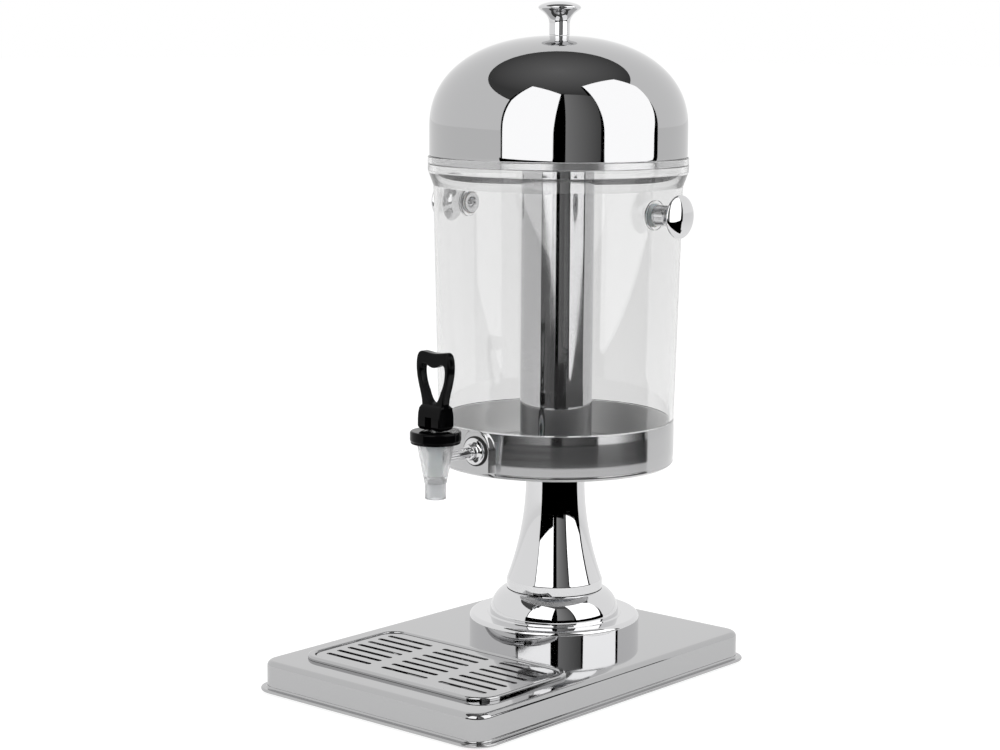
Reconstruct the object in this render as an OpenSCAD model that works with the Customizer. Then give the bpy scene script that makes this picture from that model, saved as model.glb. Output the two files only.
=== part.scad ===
// Juice dispenser: a clear vessel with a tap and an ice tube, held by a steel cup on a pedestal base.
// The origin is on the table, under the middle of the base. +Z is up and the tap faces -Y.

/* [Base] */
// Length of the base over its flange, front to back
base_length = 350; // [340:1:380]
// Width of the base over its flange
base_width = 247; // [240:1:280]
// Height of the base's top face above the table
base_height = 26.5; // [24:0.5:32]
// Corner radius of the side walls, seen from above
base_corner_radius = 15; // [10:1:22]
// Radius of the rounded edge round the top
base_edge_radius = 4.5; // [2.5:0.5:7]
// Thickness of the pressed sheet
base_sheet = 1; // [0.8:0.1:1.4]
// How far the flange stands out from the walls
flange_reach = 5.2; // [4:0.2:8]
// Thickness of the folded flange
flange_thickness = 2.6; // [2:0.2:4]
// Height of the flange's underside above the table
flange_lift = 2; // [1:0.5:4]

/* [Feet] */
// Height of a rubber foot under its rail
foot_height = 5; // [4:0.5:7]
// Radius of a rubber foot
foot_radius = 9; // [7:0.5:9.5]
// Distance of a foot's axis from the end of its rail
foot_inset = 14; // [10:1:40]
// Radius of the stem that holds a foot in its rail
foot_stem_radius = 3; // [2:0.5:4]
// Width of a foot rail
rail_width = 16; // [12:1:17]
// Thickness of the rail's sheet
rail_sheet = 1.2; // [1:0.1:2]

/* [Drip tray] */
// Distance of the rim from the base's outer edge, left and right
tray_side_margin = 23.5; // [23:0.5:40]
// Distance of the rim from the base's outer edge, at the front
tray_front_margin = 30.4; // [24:0.2:40]
// Distance between the rim and the pedestal's disc
tray_gap = 21; // [12:0.5:30]
// Corner radius of the rim, seen from above
tray_corner_radius = 20; // [17:1:26]
// Width of the raised rim
rim_width = 6; // [5:0.5:8]
// Height of the rim above the base
rim_height = 3.4; // [2.8:0.2:5]
// Thickness of the tray's sheet
tray_sheet = 1; // [0.8:0.1:1.2]
// Height of the tray's underside above the table
tray_lift = 8; // [5:0.5:10]
// Width of the ledge that carries the grid
ledge_width = 2.5; // [2:0.5:4]
// Depth of the ledge below the rim's top
ledge_depth = 3.8; // [3.4:0.2:4.4]
// Thickness of the grid plate
grid_sheet = 1; // [0.8:0.1:1.4]
// Height of the grid's edge, from the ledge to its top face
grid_height = 2.4; // [2:0.2:3]
// Distance of the slots from the grid's edge
slot_border = 7.6; // [5:0.2:16]
// Width of a slot
slot_width = 4.5; // [3:0.5:6]
// Width of the bridges between slots that lie end to end
slot_bridge = 12.5; // [6:0.5:20]
// Distance between rows of slots, middle to middle
slot_pitch = 12; // [9:0.5:16]
// Slots in a row
slot_columns = 3; // [1:1:5]

/* [Pedestal] */
// Distance of the pedestal's axis behind the middle of the base
pedestal_y = 60; // [54:1:70]
// Radius of the foot's flat disc
disc_radius = 71.6; // [66:0.2:76]
// Height of the disc
disc_height = 17.5; // [12:0.5:22]
// Radius of the disc's rounded edge
disc_edge_radius = 3.5; // [2:0.5:5]
// Radius of the low step round the bell
step_radius = 56.4; // [55.5:0.2:60]
// Height of the low step
step_height = 1.2; // [0.8:0.2:2]
// Radius of the bell where it leaves the step
bell_radius = 54.3; // [50:0.2:55]
// Height of the bell above the disc
bell_height = 22; // [18:0.5:28]
// Radius of the column at its foot
column_foot_radius = 40.3; // [36:0.1:44]
// Radius of the column at its neck
column_neck_radius = 24.4; // [22:0.1:30]
// Height of the column
column_height = 107.3; // [90:0.1:130]
// Height over which the column's foot sweeps in to the neck
column_sweep = 94; // [70:1:100]
// Thickness of the spun sheet of foot and column
spun_sheet = 1.2; // [1:0.1:2]
// Radius of the plate on top of the column
head_radius = 45; // [40:0.5:50]
// Thickness of the plate on top of the column
head_thickness = 4; // [3:0.2:6]
// Length of the plug inside the column's neck
plug_length = 14; // [13:0.5:20]
// Radius of the tie rod
rod_radius = 6; // [5:0.5:8]
// Size of the steel plate that stiffens the base, along each side
stiffener_size = 130; // [100:2:150]
// Thickness of the stiffening plate
stiffener_thickness = 2; // [1.5:0.5:4]
// Size of the tie rod's nut across its flats
tie_nut_flats = 19; // [17:1:24]

/* [Cup] */
// Outer radius of the cup
cup_radius = 98.6; // [96:0.2:104]
// Height of the cup's wall
cup_height = 36.7; // [34:0.1:48]
// Radius of the cup's bottom edge
cup_edge_radius = 3.6; // [2.5:0.1:6]
// Thickness of the cup's sheet
cup_sheet = 0.8; // [0.6:0.1:1]
// Depth of the well that drops over the column's plate
well_depth = 4.7; // [4:0.1:6]
// Half width of the tap pad where it leaves the wall
pad_half_width = 17.5; // [17:0.5:22]
// Half width of the tap pad's flat face
pad_face_half_width = 13.6; // [13.3:0.1:16]
// How far the pad's face stands in front of the wall
pad_reach = 2.4; // [1.6:0.2:4]
// Height of the pad's arch centre above the tap's shank
pad_arch_rise = 2; // [0:0.5:4]

/* [Vessel] */
// Height of the vessel from the underside of its floor to its rim
vessel_height = 248.6; // [200:0.1:290]
// Outer radius of the wall just above the cup
vessel_low_radius = 98.3; // [98.2:0.1:100]
// Outer radius of the wall below the shoulder
vessel_high_radius = 102.9; // [100.5:0.1:104]
// Outer radius of the rim
vessel_rim_radius = 107.4; // [106:0.1:110]
// Thickness of the wall
vessel_wall = 2.8; // [2.2:0.1:3.4]
// Thickness of the floor
vessel_floor = 3; // [2.5:0.5:5]
// Inner radius between wall and floor
vessel_floor_fillet = 3; // [2:0.5:4]
// Height of the shoulder that swells out to the rim
shoulder_height = 18; // [12:1:24]
// Height of the straight rim above the shoulder
rim_band_height = 7.6; // [7:0.2:14]
// Distance of the side handles below the rim
handle_drop = 43.5; // [38:0.5:70]
// Radius of the boss under a side handle
handle_boss_radius = 12; // [10:0.5:15]

/* [Knobs] */
// Length of a knob
knob_length = 27.4; // [26:0.1:34]
// Radius of a knob's head
knob_head_radius = 17.4; // [15:0.1:20]
// Radius of a knob's stem
knob_stem_radius = 8.4; // [7:0.1:9.4]
// Height of the crown on a knob's head
knob_crown = 4.8; // [3:0.2:7]
// Radius of the screws that hold the knobs
knob_screw_radius = 2.5; // [2:0.5:3.5]

/* [Lid] */
// Radius of the dome
dome_radius = 106.3; // [105.8:0.1:106.4]
// Height of the dome's straight skirt
dome_skirt = 23.1; // [16:0.1:30]
// Rise of the dome above its skirt
dome_rise = 74.7; // [60:0.1:90]
// Fullness of the dome's curve, where 2 is an ellipse
dome_fullness = 2.22; // [2:0.02:2.6]
// Thickness of the dome's sheet
dome_sheet = 0.9; // [0.7:0.1:1]
// Depth of the ring that centres the lid in the vessel
lid_ring_depth = 8; // [6:0.5:10]

/* [Ice tube] */
// Outer radius of the ice tube
ice_tube_radius = 30.1; // [26:0.1:36]
// Length of the ice tube
ice_tube_length = 240.8; // [190:0.1:242]
// Thickness of the ice tube's wall
ice_tube_wall = 1; // [0.8:0.1:1.5]
// Depth of the cap's plug inside the ice tube
ice_cap_depth = 10; // [6:0.5:16]
// Height of the cap's grip above the ice tube
ice_cap_grip = 14; // [10:0.5:18]

/* [Tap] */
// Distance of the tap's axis in front of the cup
tap_reach = 50; // [46:0.5:56]
// Height of the shank above the cup's bottom
tap_rise = 21.3; // [20.5:0.1:24]
// Radius of the bare part of the shank
shank_radius = 4.3; // [4:0.1:5]
// Radius of the shank's thread
shank_thread_radius = 6; // [5.5:0.1:6.5]
// Radius of the passage through the shank
shank_bore_radius = 2.8; // [2:0.1:3.2]
// Radius of the shank's flange
shank_flange_radius = 11; // [10.4:0.1:12.4]
// Radius of the tap's body under the bonnet
body_top_radius = 14.4; // [13:0.1:15]
// Radius of the tap's body at its lower end
body_low_radius = 8.8; // [8.4:0.1:10]
// Wall of the tap's body
body_wall = 2.2; // [1.8:0.1:2.4]
// Height of the body's cone above the shank's axis
body_rise = 11.5; // [11:0.5:14]
// Depth of the body's cone below the shank's axis
body_drop = 19; // [17:0.5:24]
// Radius of the nozzle
nozzle_radius = 8.4; // [7.6:0.1:8.6]
// Length of the nozzle below the body
nozzle_length = 12.6; // [10:0.2:20]
// Radius of the nozzle's bore
nozzle_bore_radius = 5; // [4:0.1:5.4]
// Radius of the bonnet
bonnet_radius = 20.4; // [18:0.1:22]
// Height of the bonnet
bonnet_height = 10; // [9.5:0.5:14]
// Radius of the stem
stem_radius = 3; // [2.5:0.1:3.2]
// Radius of the hinge pin
pin_radius = 1.5; // [1.2:0.1:2]
// Width of the handle's foot
lever_foot_width = 21; // [18:0.5:26]
// Height of the hinge pin above the handle's foot
lever_pin_height = 5; // [4.6:0.1:6]
// Lift of the stem for one radian of tilt
lever_lift = 3.3; // [2.6:0.1:3.6]
// Furthest tilt of the handle, in degrees
lever_travel = 60; // [40:5:60]
// Height of the handle's foot above its pin
lever_shoulder = 15.5; // [14:0.5:18]
// Height of the loop above its shoulder
loop_height = 42; // [36:0.5:50]
// Half width of the loop at its widest
loop_half_width = 17.5; // [16:0.5:22]
// Thickness of the loop, front to back
loop_thickness = 8.5; // [6:0.5:10]
// Width of the loop's bars
loop_bar = 7; // [5:0.5:8]

/* [Clearances] */
// Gap between pieces that rest on each other and lift apart
seat_gap = 0.2; // [0.1:0.05:0.3]
// Gap round pieces that drop into each other
slip_gap = 0.4; // [0.3:0.05:0.6]
// Gap round threads and screws in their holes
thread_gap = 0.05; // [0.02:0.01:0.1]
// Radial gap round the hinge pin
pin_gap = 0.04; // [0.02:0.01:0.08]

/* [Hidden] */
$fn = 72;

// Colours of the finishes
polished = [0.76, 0.77, 0.78];
brushed = [0.66, 0.67, 0.68];
zinc = [0.55, 0.57, 0.6];
clear_plastic = [0.88, 0.92, 0.94, 0.35];
frosted_plastic = [0.8, 0.82, 0.83, 0.8];
black_plastic = [0.06, 0.06, 0.07];
white_silicone = [0.9, 0.9, 0.88];
black_rubber = [0.1, 0.1, 0.1];

// Shared small sizes
bore_over = 1;
washer_thickness = 1.5;
seal_thickness = 1.2;
corner_steps = 6;
curve_steps = 24;

// Base: half sizes inside the flange, and the places that follow from them
body_width = base_width - 2 * flange_reach;
body_length = base_length - 2 * flange_reach;
base_inside_top = base_height - base_sheet;
rail_wall_gap = base_edge_radius - base_sheet + 0.5;
rail_x = body_width / 2 - base_sheet - rail_wall_gap - rail_width / 2;
rail_length = body_length - 2 * base_corner_radius;
foot_y = rail_length / 2 - foot_inset;
flange_fillet = 1.4;

// Drip tray and grid: the tray fills the room between the base's front and the pedestal
tray_front = -base_length / 2 + tray_front_margin;
tray_back = pedestal_y - disc_radius - tray_gap;
tray_y = (tray_front + tray_back) / 2;
tray_length = tray_back - tray_front;
tray_width = base_width - 2 * tray_side_margin;
grid_inset = rim_width + slip_gap;
grid_width = tray_width - 2 * grid_inset;
grid_length = tray_length - 2 * grid_inset;
grid_bottom = base_height + rim_height - ledge_depth + seat_gap;
grid_top = grid_bottom + grid_height;
slot_pitch_x = (grid_width - 2 * slot_border + slot_bridge) / slot_columns;
slot_length = slot_pitch_x - slot_bridge;
slot_rows = floor((grid_length - 2 * slot_border + slot_pitch - slot_width) / slot_pitch);

// Pedestal heights
disc_top = base_height + disc_height;
bell_top = disc_top + bell_height;
column_top = bell_top + column_height;
bell_center_radius = 37;
bell_fullness = 1.85;
column_flare_power = 0.65;
head_top = column_top + head_thickness;
head_recess_radius = 15;
head_web = 6;
pad_thickness = 0.8;
rod_top = column_top - plug_length + head_web;
tie_nut_height = 10;
stiffener_bottom = base_inside_top - stiffener_thickness;

// Cup heights
well_radius = head_radius + 2 * slip_gap;
well_under = head_top + pad_thickness + seat_gap;
well_top = well_under + cup_sheet;
cup_bottom = well_under - well_depth;
cup_top = cup_bottom + cup_height;
cup_inner_radius = cup_radius - cup_sheet;

// Vessel heights and radii
gasket_thickness = 0.8;
vessel_under = well_top + gasket_thickness;
vessel_floor_top = vessel_under + vessel_floor;
vessel_rim_top = vessel_under + vessel_height;
shoulder_top = vessel_rim_top - rim_band_height;
shoulder_bottom = shoulder_top - shoulder_height;
vessel_foot_radius = cup_inner_radius - slip_gap;
vessel_step = cup_top + 0.9;
vessel_inner_low = vessel_foot_radius - vessel_wall;
vessel_inner_high = vessel_high_radius - vessel_wall;
handle_z = vessel_rim_top - handle_drop;
handle_wall = vessel_low_radius
    + (vessel_high_radius - vessel_low_radius) * (handle_z - vessel_step) / (shoulder_bottom - vessel_step);
handle_face = handle_wall + 0.4;
handle_inner_face = handle_wall - vessel_wall - 1.5;

// Ice tube heights
ice_tube_bottom = vessel_floor_top + seal_thickness;
ice_tube_top = ice_tube_bottom + ice_tube_length;
stud_radius = 4;
stud_washer_top = well_under;
stud_nut_flats = 13;
stud_nut_height = 6;

// Lid heights
lid_bottom = vessel_rim_top + seat_gap + 0.1;
dome_spring = lid_bottom + dome_skirt;
dome_top = dome_spring + dome_rise;
lid_ring_radius = vessel_rim_radius - vessel_wall - slip_gap;

// Tap places
tap_y = pedestal_y - cup_radius - tap_reach;
tap_z = cup_bottom + tap_rise;
cup_front_y = pedestal_y - cup_radius;
pad_face_y = cup_front_y - pad_reach;
pad_root_y = cup_front_y + 1.6;
pad_arch_z = tap_z + pad_arch_rise;
land_y = pedestal_y - vessel_inner_low + 1.6;
tap_washer_thickness = 1.3;
flange_back_y = pad_face_y - tap_washer_thickness;
shank_hub_radius = shank_radius + 2;
inner_nut_flats = 2 * shank_thread_radius + 7;
inner_nut_length = 7;
body_top = tap_z + body_rise;
body_bottom = tap_z - body_drop;
neck_radius = body_top_radius + 0.6;
neck_height = 4.5;
neck_top = body_top + neck_height;
seat_z = body_bottom + 5.5;
washer_overhang = 1.2;
socket_y = tap_y + 7.4;
socket_radius = shank_radius + 2.3;
bell_tip_radius = body_low_radius - body_wall - 0.7;
bonnet_bottom = body_top + 1.5;
bonnet_top = bonnet_bottom + bonnet_height;
cup_flange_thickness = 2.2;
lever_gap = 0.3;
pin_z = bonnet_top + lever_gap + lever_pin_height;
head_half_width = 3;
lever_slot = 2 * (head_half_width + 0.3);
lever_round = 3;
degrees_per_radian = 180 / PI;

// Points along an arc, from one angle to another
function arc_points(cx, cy, r, from, to, steps = corner_steps) =
    [for (i = [0:steps]) let (a = from + (to - from) * i / steps) [cx + r * cos(a), cy + r * sin(a)]];

// Points along a cubic curve, without its last point
function curve_points(p0, p1, p2, p3, steps = 8) =
    [for (i = [0:steps - 1]) let (t = i / steps, s = 1 - t)
        s * s * s * p0 + 3 * s * s * t * p1 + 3 * s * t * t * p2 + t * t * t * p3];

// A list of points in reverse order, mirrored to the other side of the vertical axis
function mirrored_back(points) = [for (i = [len(points) - 1:-1:0]) [-points[i][0], points[i][1]]];

// Height of a full curve over its radius, where the fullness sets how square it is
function full_curve(share, fullness) = pow(max(0, 1 - pow(share, fullness)), 1 / fullness);

// Everything on the pedestal's axis is turned round this line
module on_axis() {
    translate([0, pedestal_y, 0]) children();
}

module turned(points) {
    on_axis() rotate_extrude() polygon(points);
}

module ring(outer, inner, bottom, height) {
    translate([0, 0, bottom]) difference() {
        cylinder(r = outer, h = height);
        translate([0, 0, -bore_over]) cylinder(r = inner, h = height + 2 * bore_over);
    }
}

module hex_nut(flats, bore, height) {
    difference() {
        cylinder(r = flats / 2 / cos(30), h = height, $fn = 6);
        translate([0, 0, -bore_over]) cylinder(r = bore, h = height + 2 * bore_over);
    }
}

// A flat shape with round corners
module rounded_square(width, length, radius) {
    square([width - 2 * radius, length], center = true);
    square([width, length - 2 * radius], center = true);
    for (sx = [-1, 1], sy = [-1, 1])
        translate([sx * (width / 2 - radius), sy * (length / 2 - radius)]) circle(r = radius);
}

// Carries a profile round a rounded rectangle. The profile's x starts at the corner's centre.
module swept_frame(width, length, radius) {
    long = length - 2 * radius;
    wide = width - 2 * radius;
    corners = [[1, 1, 0], [-1, 1, 90], [-1, -1, 180], [1, -1, 270]];
    for (c = corners)
        translate([c[0] * wide / 2, c[1] * long / 2, 0]) rotate([0, 0, c[2]]) rotate_extrude(angle = 90) children();
    for (side = [0, 180]) {
        rotate([0, 0, side]) translate([wide / 2, 0, 0]) rotate([90, 0, 0])
            linear_extrude(long, center = true) children();
        rotate([0, 0, side + 90]) translate([long / 2, 0, 0]) rotate([90, 0, 0])
            linear_extrude(wide, center = true) children();
    }
}

module base_profile() {
    wall = base_corner_radius;
    polygon(concat(
        [[0, base_height]],
        arc_points(wall - base_edge_radius, base_height - base_edge_radius, base_edge_radius, 90, 0),
        arc_points(wall + flange_fillet, flange_lift + flange_thickness + flange_fillet, flange_fillet, 180, 270, 4),
        arc_points(wall + flange_reach - flange_thickness / 2, flange_lift + flange_thickness / 2,
            flange_thickness / 2, 90, -90),
        [[wall - base_sheet, flange_lift]],
        arc_points(wall - base_edge_radius, base_height - base_edge_radius, base_edge_radius - base_sheet, 0, 90),
        [[0, base_inside_top]]
    ));
}

// Pressed cover of the base, open underneath, with the cut-out for the drip tray
module base_cover() {
    cut = rim_width - tray_sheet - slip_gap;
    color(polished) difference() {
        union() {
            swept_frame(body_width, body_length, base_corner_radius) base_profile();
            translate([0, 0, base_height - base_sheet / 2])
                cube([body_width - 2 * base_corner_radius, body_length - 2 * base_corner_radius, base_sheet],
                    center = true);
        }
        translate([0, tray_y, base_inside_top - bore_over]) linear_extrude(base_sheet + 2 * bore_over)
            rounded_square(tray_width - 2 * cut, tray_length - 2 * cut, tray_corner_radius - cut);
        on_axis() translate([0, 0, base_inside_top - bore_over])
            cylinder(r = rod_radius + slip_gap, h = base_sheet + 2 * bore_over);
    }
}

// Channels welded under the cover, along its sides, that carry the feet
module foot_rails() {
    height = base_inside_top - foot_height;
    color(zinc) for (side = [-1, 1]) translate([side * rail_x, 0, foot_height]) difference() {
        translate([-rail_width / 2, -rail_length / 2, 0]) cube([rail_width, rail_length, height]);
        translate([-rail_width / 2 + rail_sheet, -rail_length / 2 - bore_over, rail_sheet])
            cube([rail_width - 2 * rail_sheet, rail_length + 2 * bore_over, height]);
        for (y = [-1, 1]) translate([0, y * foot_y, -bore_over])
            cylinder(r = foot_stem_radius + 0.1, h = rail_sheet + 2 * bore_over);
    }
}

module rubber_feet() {
    neck_top_z = foot_height + rail_sheet + seat_gap;
    barb = foot_stem_radius + 1;
    color(black_rubber) for (side = [-1, 1], y = [-1, 1])
        translate([side * rail_x, y * foot_y, 0]) rotate_extrude() polygon([
            [0, 0], [foot_radius - 1.2, 0], [foot_radius - 0.4, 0.8], [foot_radius, foot_height],
            [foot_stem_radius, foot_height], [foot_stem_radius, neck_top_z], [barb, neck_top_z],
            [foot_stem_radius - 0.6, neck_top_z + 3], [0, neck_top_z + 3]
        ]);
}

module base_stiffener() {
    color(zinc) on_axis() translate([0, 0, stiffener_bottom]) difference() {
        linear_extrude(stiffener_thickness) rounded_square(stiffener_size, stiffener_size, 12);
        translate([0, 0, -bore_over]) cylinder(r = rod_radius + slip_gap, h = stiffener_thickness + 2 * bore_over);
    }
}

// Outline of the foot's bell, from the step up to where the column stands on it
function bell_points(inset) =
    let (reach = bell_radius - bell_center_radius - inset, rise = bell_height - step_height - inset)
    [for (i = [0:12]) let (
        share = (column_foot_radius - bell_center_radius) / (bell_radius - bell_center_radius),
        across = 1 - (1 - share) * pow(i / 12, 1.6)
    ) [bell_center_radius + reach * across, disc_top + step_height + rise * full_curve(across, bell_fullness)]];

// Spun foot: a stepped disc that swells into a bell under the column
module pedestal_foot() {
    outer = concat(
        [[disc_radius, base_height]],
        arc_points(disc_radius - disc_edge_radius, disc_top - disc_edge_radius, disc_edge_radius, 0, 90),
        [[step_radius, disc_top], [step_radius - 0.3, disc_top + step_height]],
        bell_points(0),
        [[column_foot_radius - 1, bell_top], [rod_radius + slip_gap, bell_top]]
    );
    inner = concat(
        [[rod_radius + slip_gap, bell_top - spun_sheet], [column_foot_radius - 2, bell_top - spun_sheet]],
        [for (i = [12:-1:0]) bell_points(spun_sheet)[i]],
        [[step_radius - spun_sheet, disc_top - spun_sheet]],
        arc_points(disc_radius - disc_edge_radius, disc_top - disc_edge_radius, disc_edge_radius - spun_sheet, 90, 0),
        [[disc_radius - spun_sheet, base_height]]
    );
    color(polished) turned(concat(outer, inner));
}

// Radius of the column at a share of its sweep, 0 at the foot and 1 at the neck
function column_radius(share) = column_neck_radius
    + (column_foot_radius - column_neck_radius) * (1 + cos(180 * pow(min(1, share), column_flare_power))) / 2;

module column() {
    outer = [for (i = [0:curve_steps]) let (share = i / curve_steps)
        [column_radius(share), bell_top + column_sweep * share]];
    inner = [for (i = [curve_steps:-1:0]) outer[i] - [spun_sheet, 0]];
    color(polished) turned(concat(
        outer, [[column_neck_radius, column_top], [column_neck_radius - spun_sheet, column_top]], inner
    ));
}

// Turned plug and plate that close the column and carry the cup
module column_head() {
    plug = column_neck_radius - spun_sheet - 0.1;
    recess = rod_top + seat_gap;
    color(zinc) turned([
        [rod_radius + thread_gap, column_top - plug_length], [plug, column_top - plug_length],
        [plug, column_top], [head_radius - 1, column_top], [head_radius, column_top + 1],
        [head_radius, head_top - 0.6], [head_radius - 0.6, head_top], [head_recess_radius, head_top],
        [head_recess_radius, recess], [rod_radius + thread_gap, recess]
    ]);
}

module seat_pad() {
    color(black_rubber) on_axis() ring(head_radius - 1, head_recess_radius + 1, head_top, pad_thickness);
}

module tie_rod() {
    bottom = stiffener_bottom - washer_thickness - tie_nut_height - 2;
    color(zinc) on_axis() translate([0, 0, bottom]) cylinder(r = rod_radius, h = rod_top - bottom);
}

module tie_washer() {
    color(zinc) on_axis()
        ring(rod_radius + 9, rod_radius + slip_gap, stiffener_bottom - washer_thickness, washer_thickness);
}

module tie_nut() {
    color(zinc) on_axis() translate([0, 0, stiffener_bottom - washer_thickness - tie_nut_height])
        hex_nut(tie_nut_flats, rod_radius + thread_gap, tie_nut_height);
}

// Section of the tray's sheet: raised rim, ledge for the grid, wall and floor
module tray_profile() {
    t = tray_sheet;
    edge = tray_corner_radius;
    groove = edge - rim_width;
    wall = groove - ledge_width;
    rim_top = base_height + rim_height;
    ledge = rim_top - ledge_depth;
    floor_top = tray_lift + t;
    polygon(concat(
        [[edge, base_height + seat_gap]],
        arc_points(edge - 1.8, rim_top - 1.8, 1.8, 0, 90, 4),
        arc_points(groove + 1.2, rim_top - 1.2, 1.2, 90, 180, 4),
        [[groove, ledge], [wall, ledge]],
        arc_points(wall - 5, floor_top + 4, 4, 0, -90, 4),
        [[0, floor_top], [0, tray_lift]],
        arc_points(wall - 5, floor_top + 4, 4 + t, -90, 0, 4),
        [[wall + t, ledge - t], [groove + t, ledge - t]],
        [[groove + t, rim_top - 1.6], [groove + 1.6, rim_top - t], [edge - 1.8, rim_top - t]],
        [[edge - t, rim_top - 1.8], [edge - t, base_height + seat_gap]]
    ));
}

module drip_pan() {
    color(polished) translate([0, tray_y, 0]) {
        swept_frame(tray_width, tray_length, tray_corner_radius) tray_profile();
        translate([0, 0, tray_lift + tray_sheet / 2])
            cube([tray_width - 2 * tray_corner_radius, tray_length - 2 * tray_corner_radius, tray_sheet],
                center = true);
    }
}

module grid_profile() {
    edge = tray_corner_radius - grid_inset;
    polygon(concat(
        [[0, grid_top]],
        arc_points(edge - 1.3, grid_top - 1.3, 1.3, 90, 0, 4),
        [[edge, grid_bottom], [edge - grid_sheet, grid_bottom], [edge - grid_sheet, grid_top - 1.3],
            [edge - 1.3, grid_top - grid_sheet], [0, grid_top - grid_sheet]]
    ));
}

// Slotted plate over the drip tray, with its edge turned down onto the ledge
module drip_grid() {
    radius = tray_corner_radius - grid_inset;
    color(polished) translate([0, tray_y, 0]) difference() {
        union() {
            swept_frame(grid_width, grid_length, radius) grid_profile();
            translate([0, 0, grid_top - grid_sheet / 2])
                cube([grid_width - 2 * radius, grid_length - 2 * radius, grid_sheet], center = true);
        }
        for (column = [0:slot_columns - 1], row = [0:slot_rows - 1])
            translate([
                (column - (slot_columns - 1) / 2) * slot_pitch_x,
                (row - (slot_rows - 1) / 2) * slot_pitch,
                grid_top - grid_sheet - bore_over
            ]) linear_extrude(grid_sheet + 2 * bore_over)
                rounded_square(slot_length, slot_width, slot_width / 2 - 0.01);
    }
}

// Raised pad on the cup's front, with an arched top, that gives the tap a flat seat
module tap_pad() {
    depth = pad_root_y - pad_face_y;
    foot = cup_bottom + cup_edge_radius;
    difference() {
        union() {
            translate([0, 0, foot]) linear_extrude(pad_arch_z - foot) polygon([
                [-pad_half_width, pad_root_y], [-pad_face_half_width, pad_face_y],
                [pad_face_half_width, pad_face_y], [pad_half_width, pad_root_y]
            ]);
            translate([0, pad_root_y, pad_arch_z]) rotate([90, 0, 0])
                cylinder(r1 = pad_half_width, r2 = pad_face_half_width, h = depth);
        }
        on_axis() translate([0, 0, cup_bottom]) cylinder(r = cup_radius - cup_sheet / 2, h = cup_height);
        on_axis() translate([0, 0, cup_top - 0.01]) cylinder(r = vessel_low_radius + 0.6, h = cup_height);
    }
}

// Drawn cup with a raised well in its floor
module cup() {
    hole = stud_radius + 0.3;
    color(brushed) difference() {
        union() {
            turned(concat(
                [[hole, well_under], [well_radius, well_under], [well_radius, cup_bottom]],
                arc_points(cup_radius - cup_edge_radius, cup_bottom + cup_edge_radius, cup_edge_radius, -90, 0),
                [[cup_radius, cup_top], [cup_inner_radius, cup_top]],
                arc_points(cup_radius - cup_edge_radius, cup_bottom + cup_edge_radius,
                    cup_edge_radius - cup_sheet, 0, -90),
                [[well_radius + cup_sheet, cup_bottom + cup_sheet], [well_radius + cup_sheet, well_top],
                    [hole, well_top]]
            ));
            tap_pad();
        }
        translate([0, pad_root_y + 4, tap_z]) rotate([90, 0, 0])
            cylinder(r = shank_thread_radius + 0.3, h = 12);
    }
}

module floor_gasket() {
    color(white_silicone) on_axis() ring(well_radius - 2, stud_radius + 2, well_top, gasket_thickness);
}

// Outer radius of the vessel on the shoulder, 0 at its bottom and 1 at its top
function shoulder_radius(share, inset) = vessel_high_radius - inset
    + (vessel_rim_radius - vessel_high_radius) * (1 - cos(180 * share)) / 2;

function shoulder_points(inset) = [for (i = [0:10]) let (share = i / 10)
    [shoulder_radius(share, inset), shoulder_bottom + shoulder_height * share]];

// Clear moulded vessel with its bosses for the handles and the tap
module vessel() {
    foot = cup_bottom + cup_sheet + slip_gap;
    skirt_inner = vessel_foot_radius - 3;
    inner_shoulder = shoulder_points(vessel_wall);
    color(clear_plastic) difference() {
        union() {
            turned(concat(
                [[skirt_inner, foot]],
                arc_points(cup_radius - cup_edge_radius, cup_bottom + cup_edge_radius,
                    cup_edge_radius - cup_sheet - slip_gap, -90, 0),
                [[vessel_foot_radius, cup_top + 0.2], [vessel_low_radius, vessel_step]],
                shoulder_points(0),
                arc_points(vessel_rim_radius - 1.2, vessel_rim_top - 1.2, 1.2, 0, 90, 4),
                arc_points(vessel_rim_radius - vessel_wall + 0.8, vessel_rim_top - 0.8, 0.8, 90, 180, 4),
                [for (i = [10:-1:0]) inner_shoulder[i]],
                arc_points(vessel_inner_low - vessel_floor_fillet, vessel_floor_top + vessel_floor_fillet,
                    vessel_floor_fillet, 0, -90),
                [[stud_radius + 0.3, vessel_floor_top], [stud_radius + 0.3, vessel_under],
                    [skirt_inner, vessel_under]]
            ));
            for (side = [-1, 1]) translate([side * handle_inner_face, pedestal_y, handle_z])
                rotate([0, side * 90, 0]) cylinder(r = handle_boss_radius, h = handle_face - handle_inner_face);
            translate([0, land_y, tap_z]) rotate([90, 0, 0])
                cylinder(r = shank_thread_radius + 8, h = vessel_wall);
        }
        for (side = [-1, 1]) translate([side * (handle_inner_face - 2), pedestal_y, handle_z])
            rotate([0, side * 90, 0]) cylinder(r = knob_screw_radius + 0.3, h = vessel_wall + 8);
        translate([0, land_y + 2, tap_z]) rotate([90, 0, 0])
            cylinder(r = shank_thread_radius + 0.3, h = vessel_wall + 8);
    }
}

// One knob: a stem that flares into a crowned head, with a blind screw hole
module knob() {
    rim = knob_length - knob_crown;
    head = knob_head_radius;
    stem = knob_stem_radius;
    difference() {
        rotate_extrude() polygon(concat(
            [[0, 0], [stem - 0.3, 0], [stem, 0.3]],
            curve_points([stem, rim * 0.42], [stem + 0.1, rim * 0.62], [stem + 2.4, rim * 0.74],
                [head - 3.4, rim * 0.84]),
            curve_points([head - 3.4, rim * 0.84], [head - 1.4, rim * 0.9], [head, rim * 0.94], [head, rim], 5),
            [for (i = [0:10]) let (a = 9 * i) [head * cos(a), rim + knob_crown * pow(sin(a), 1.15)]]
        ));
        translate([0, 0, -bore_over]) cylinder(r = knob_screw_radius + thread_gap, h = knob_length * 0.55 + bore_over);
    }
}

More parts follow.
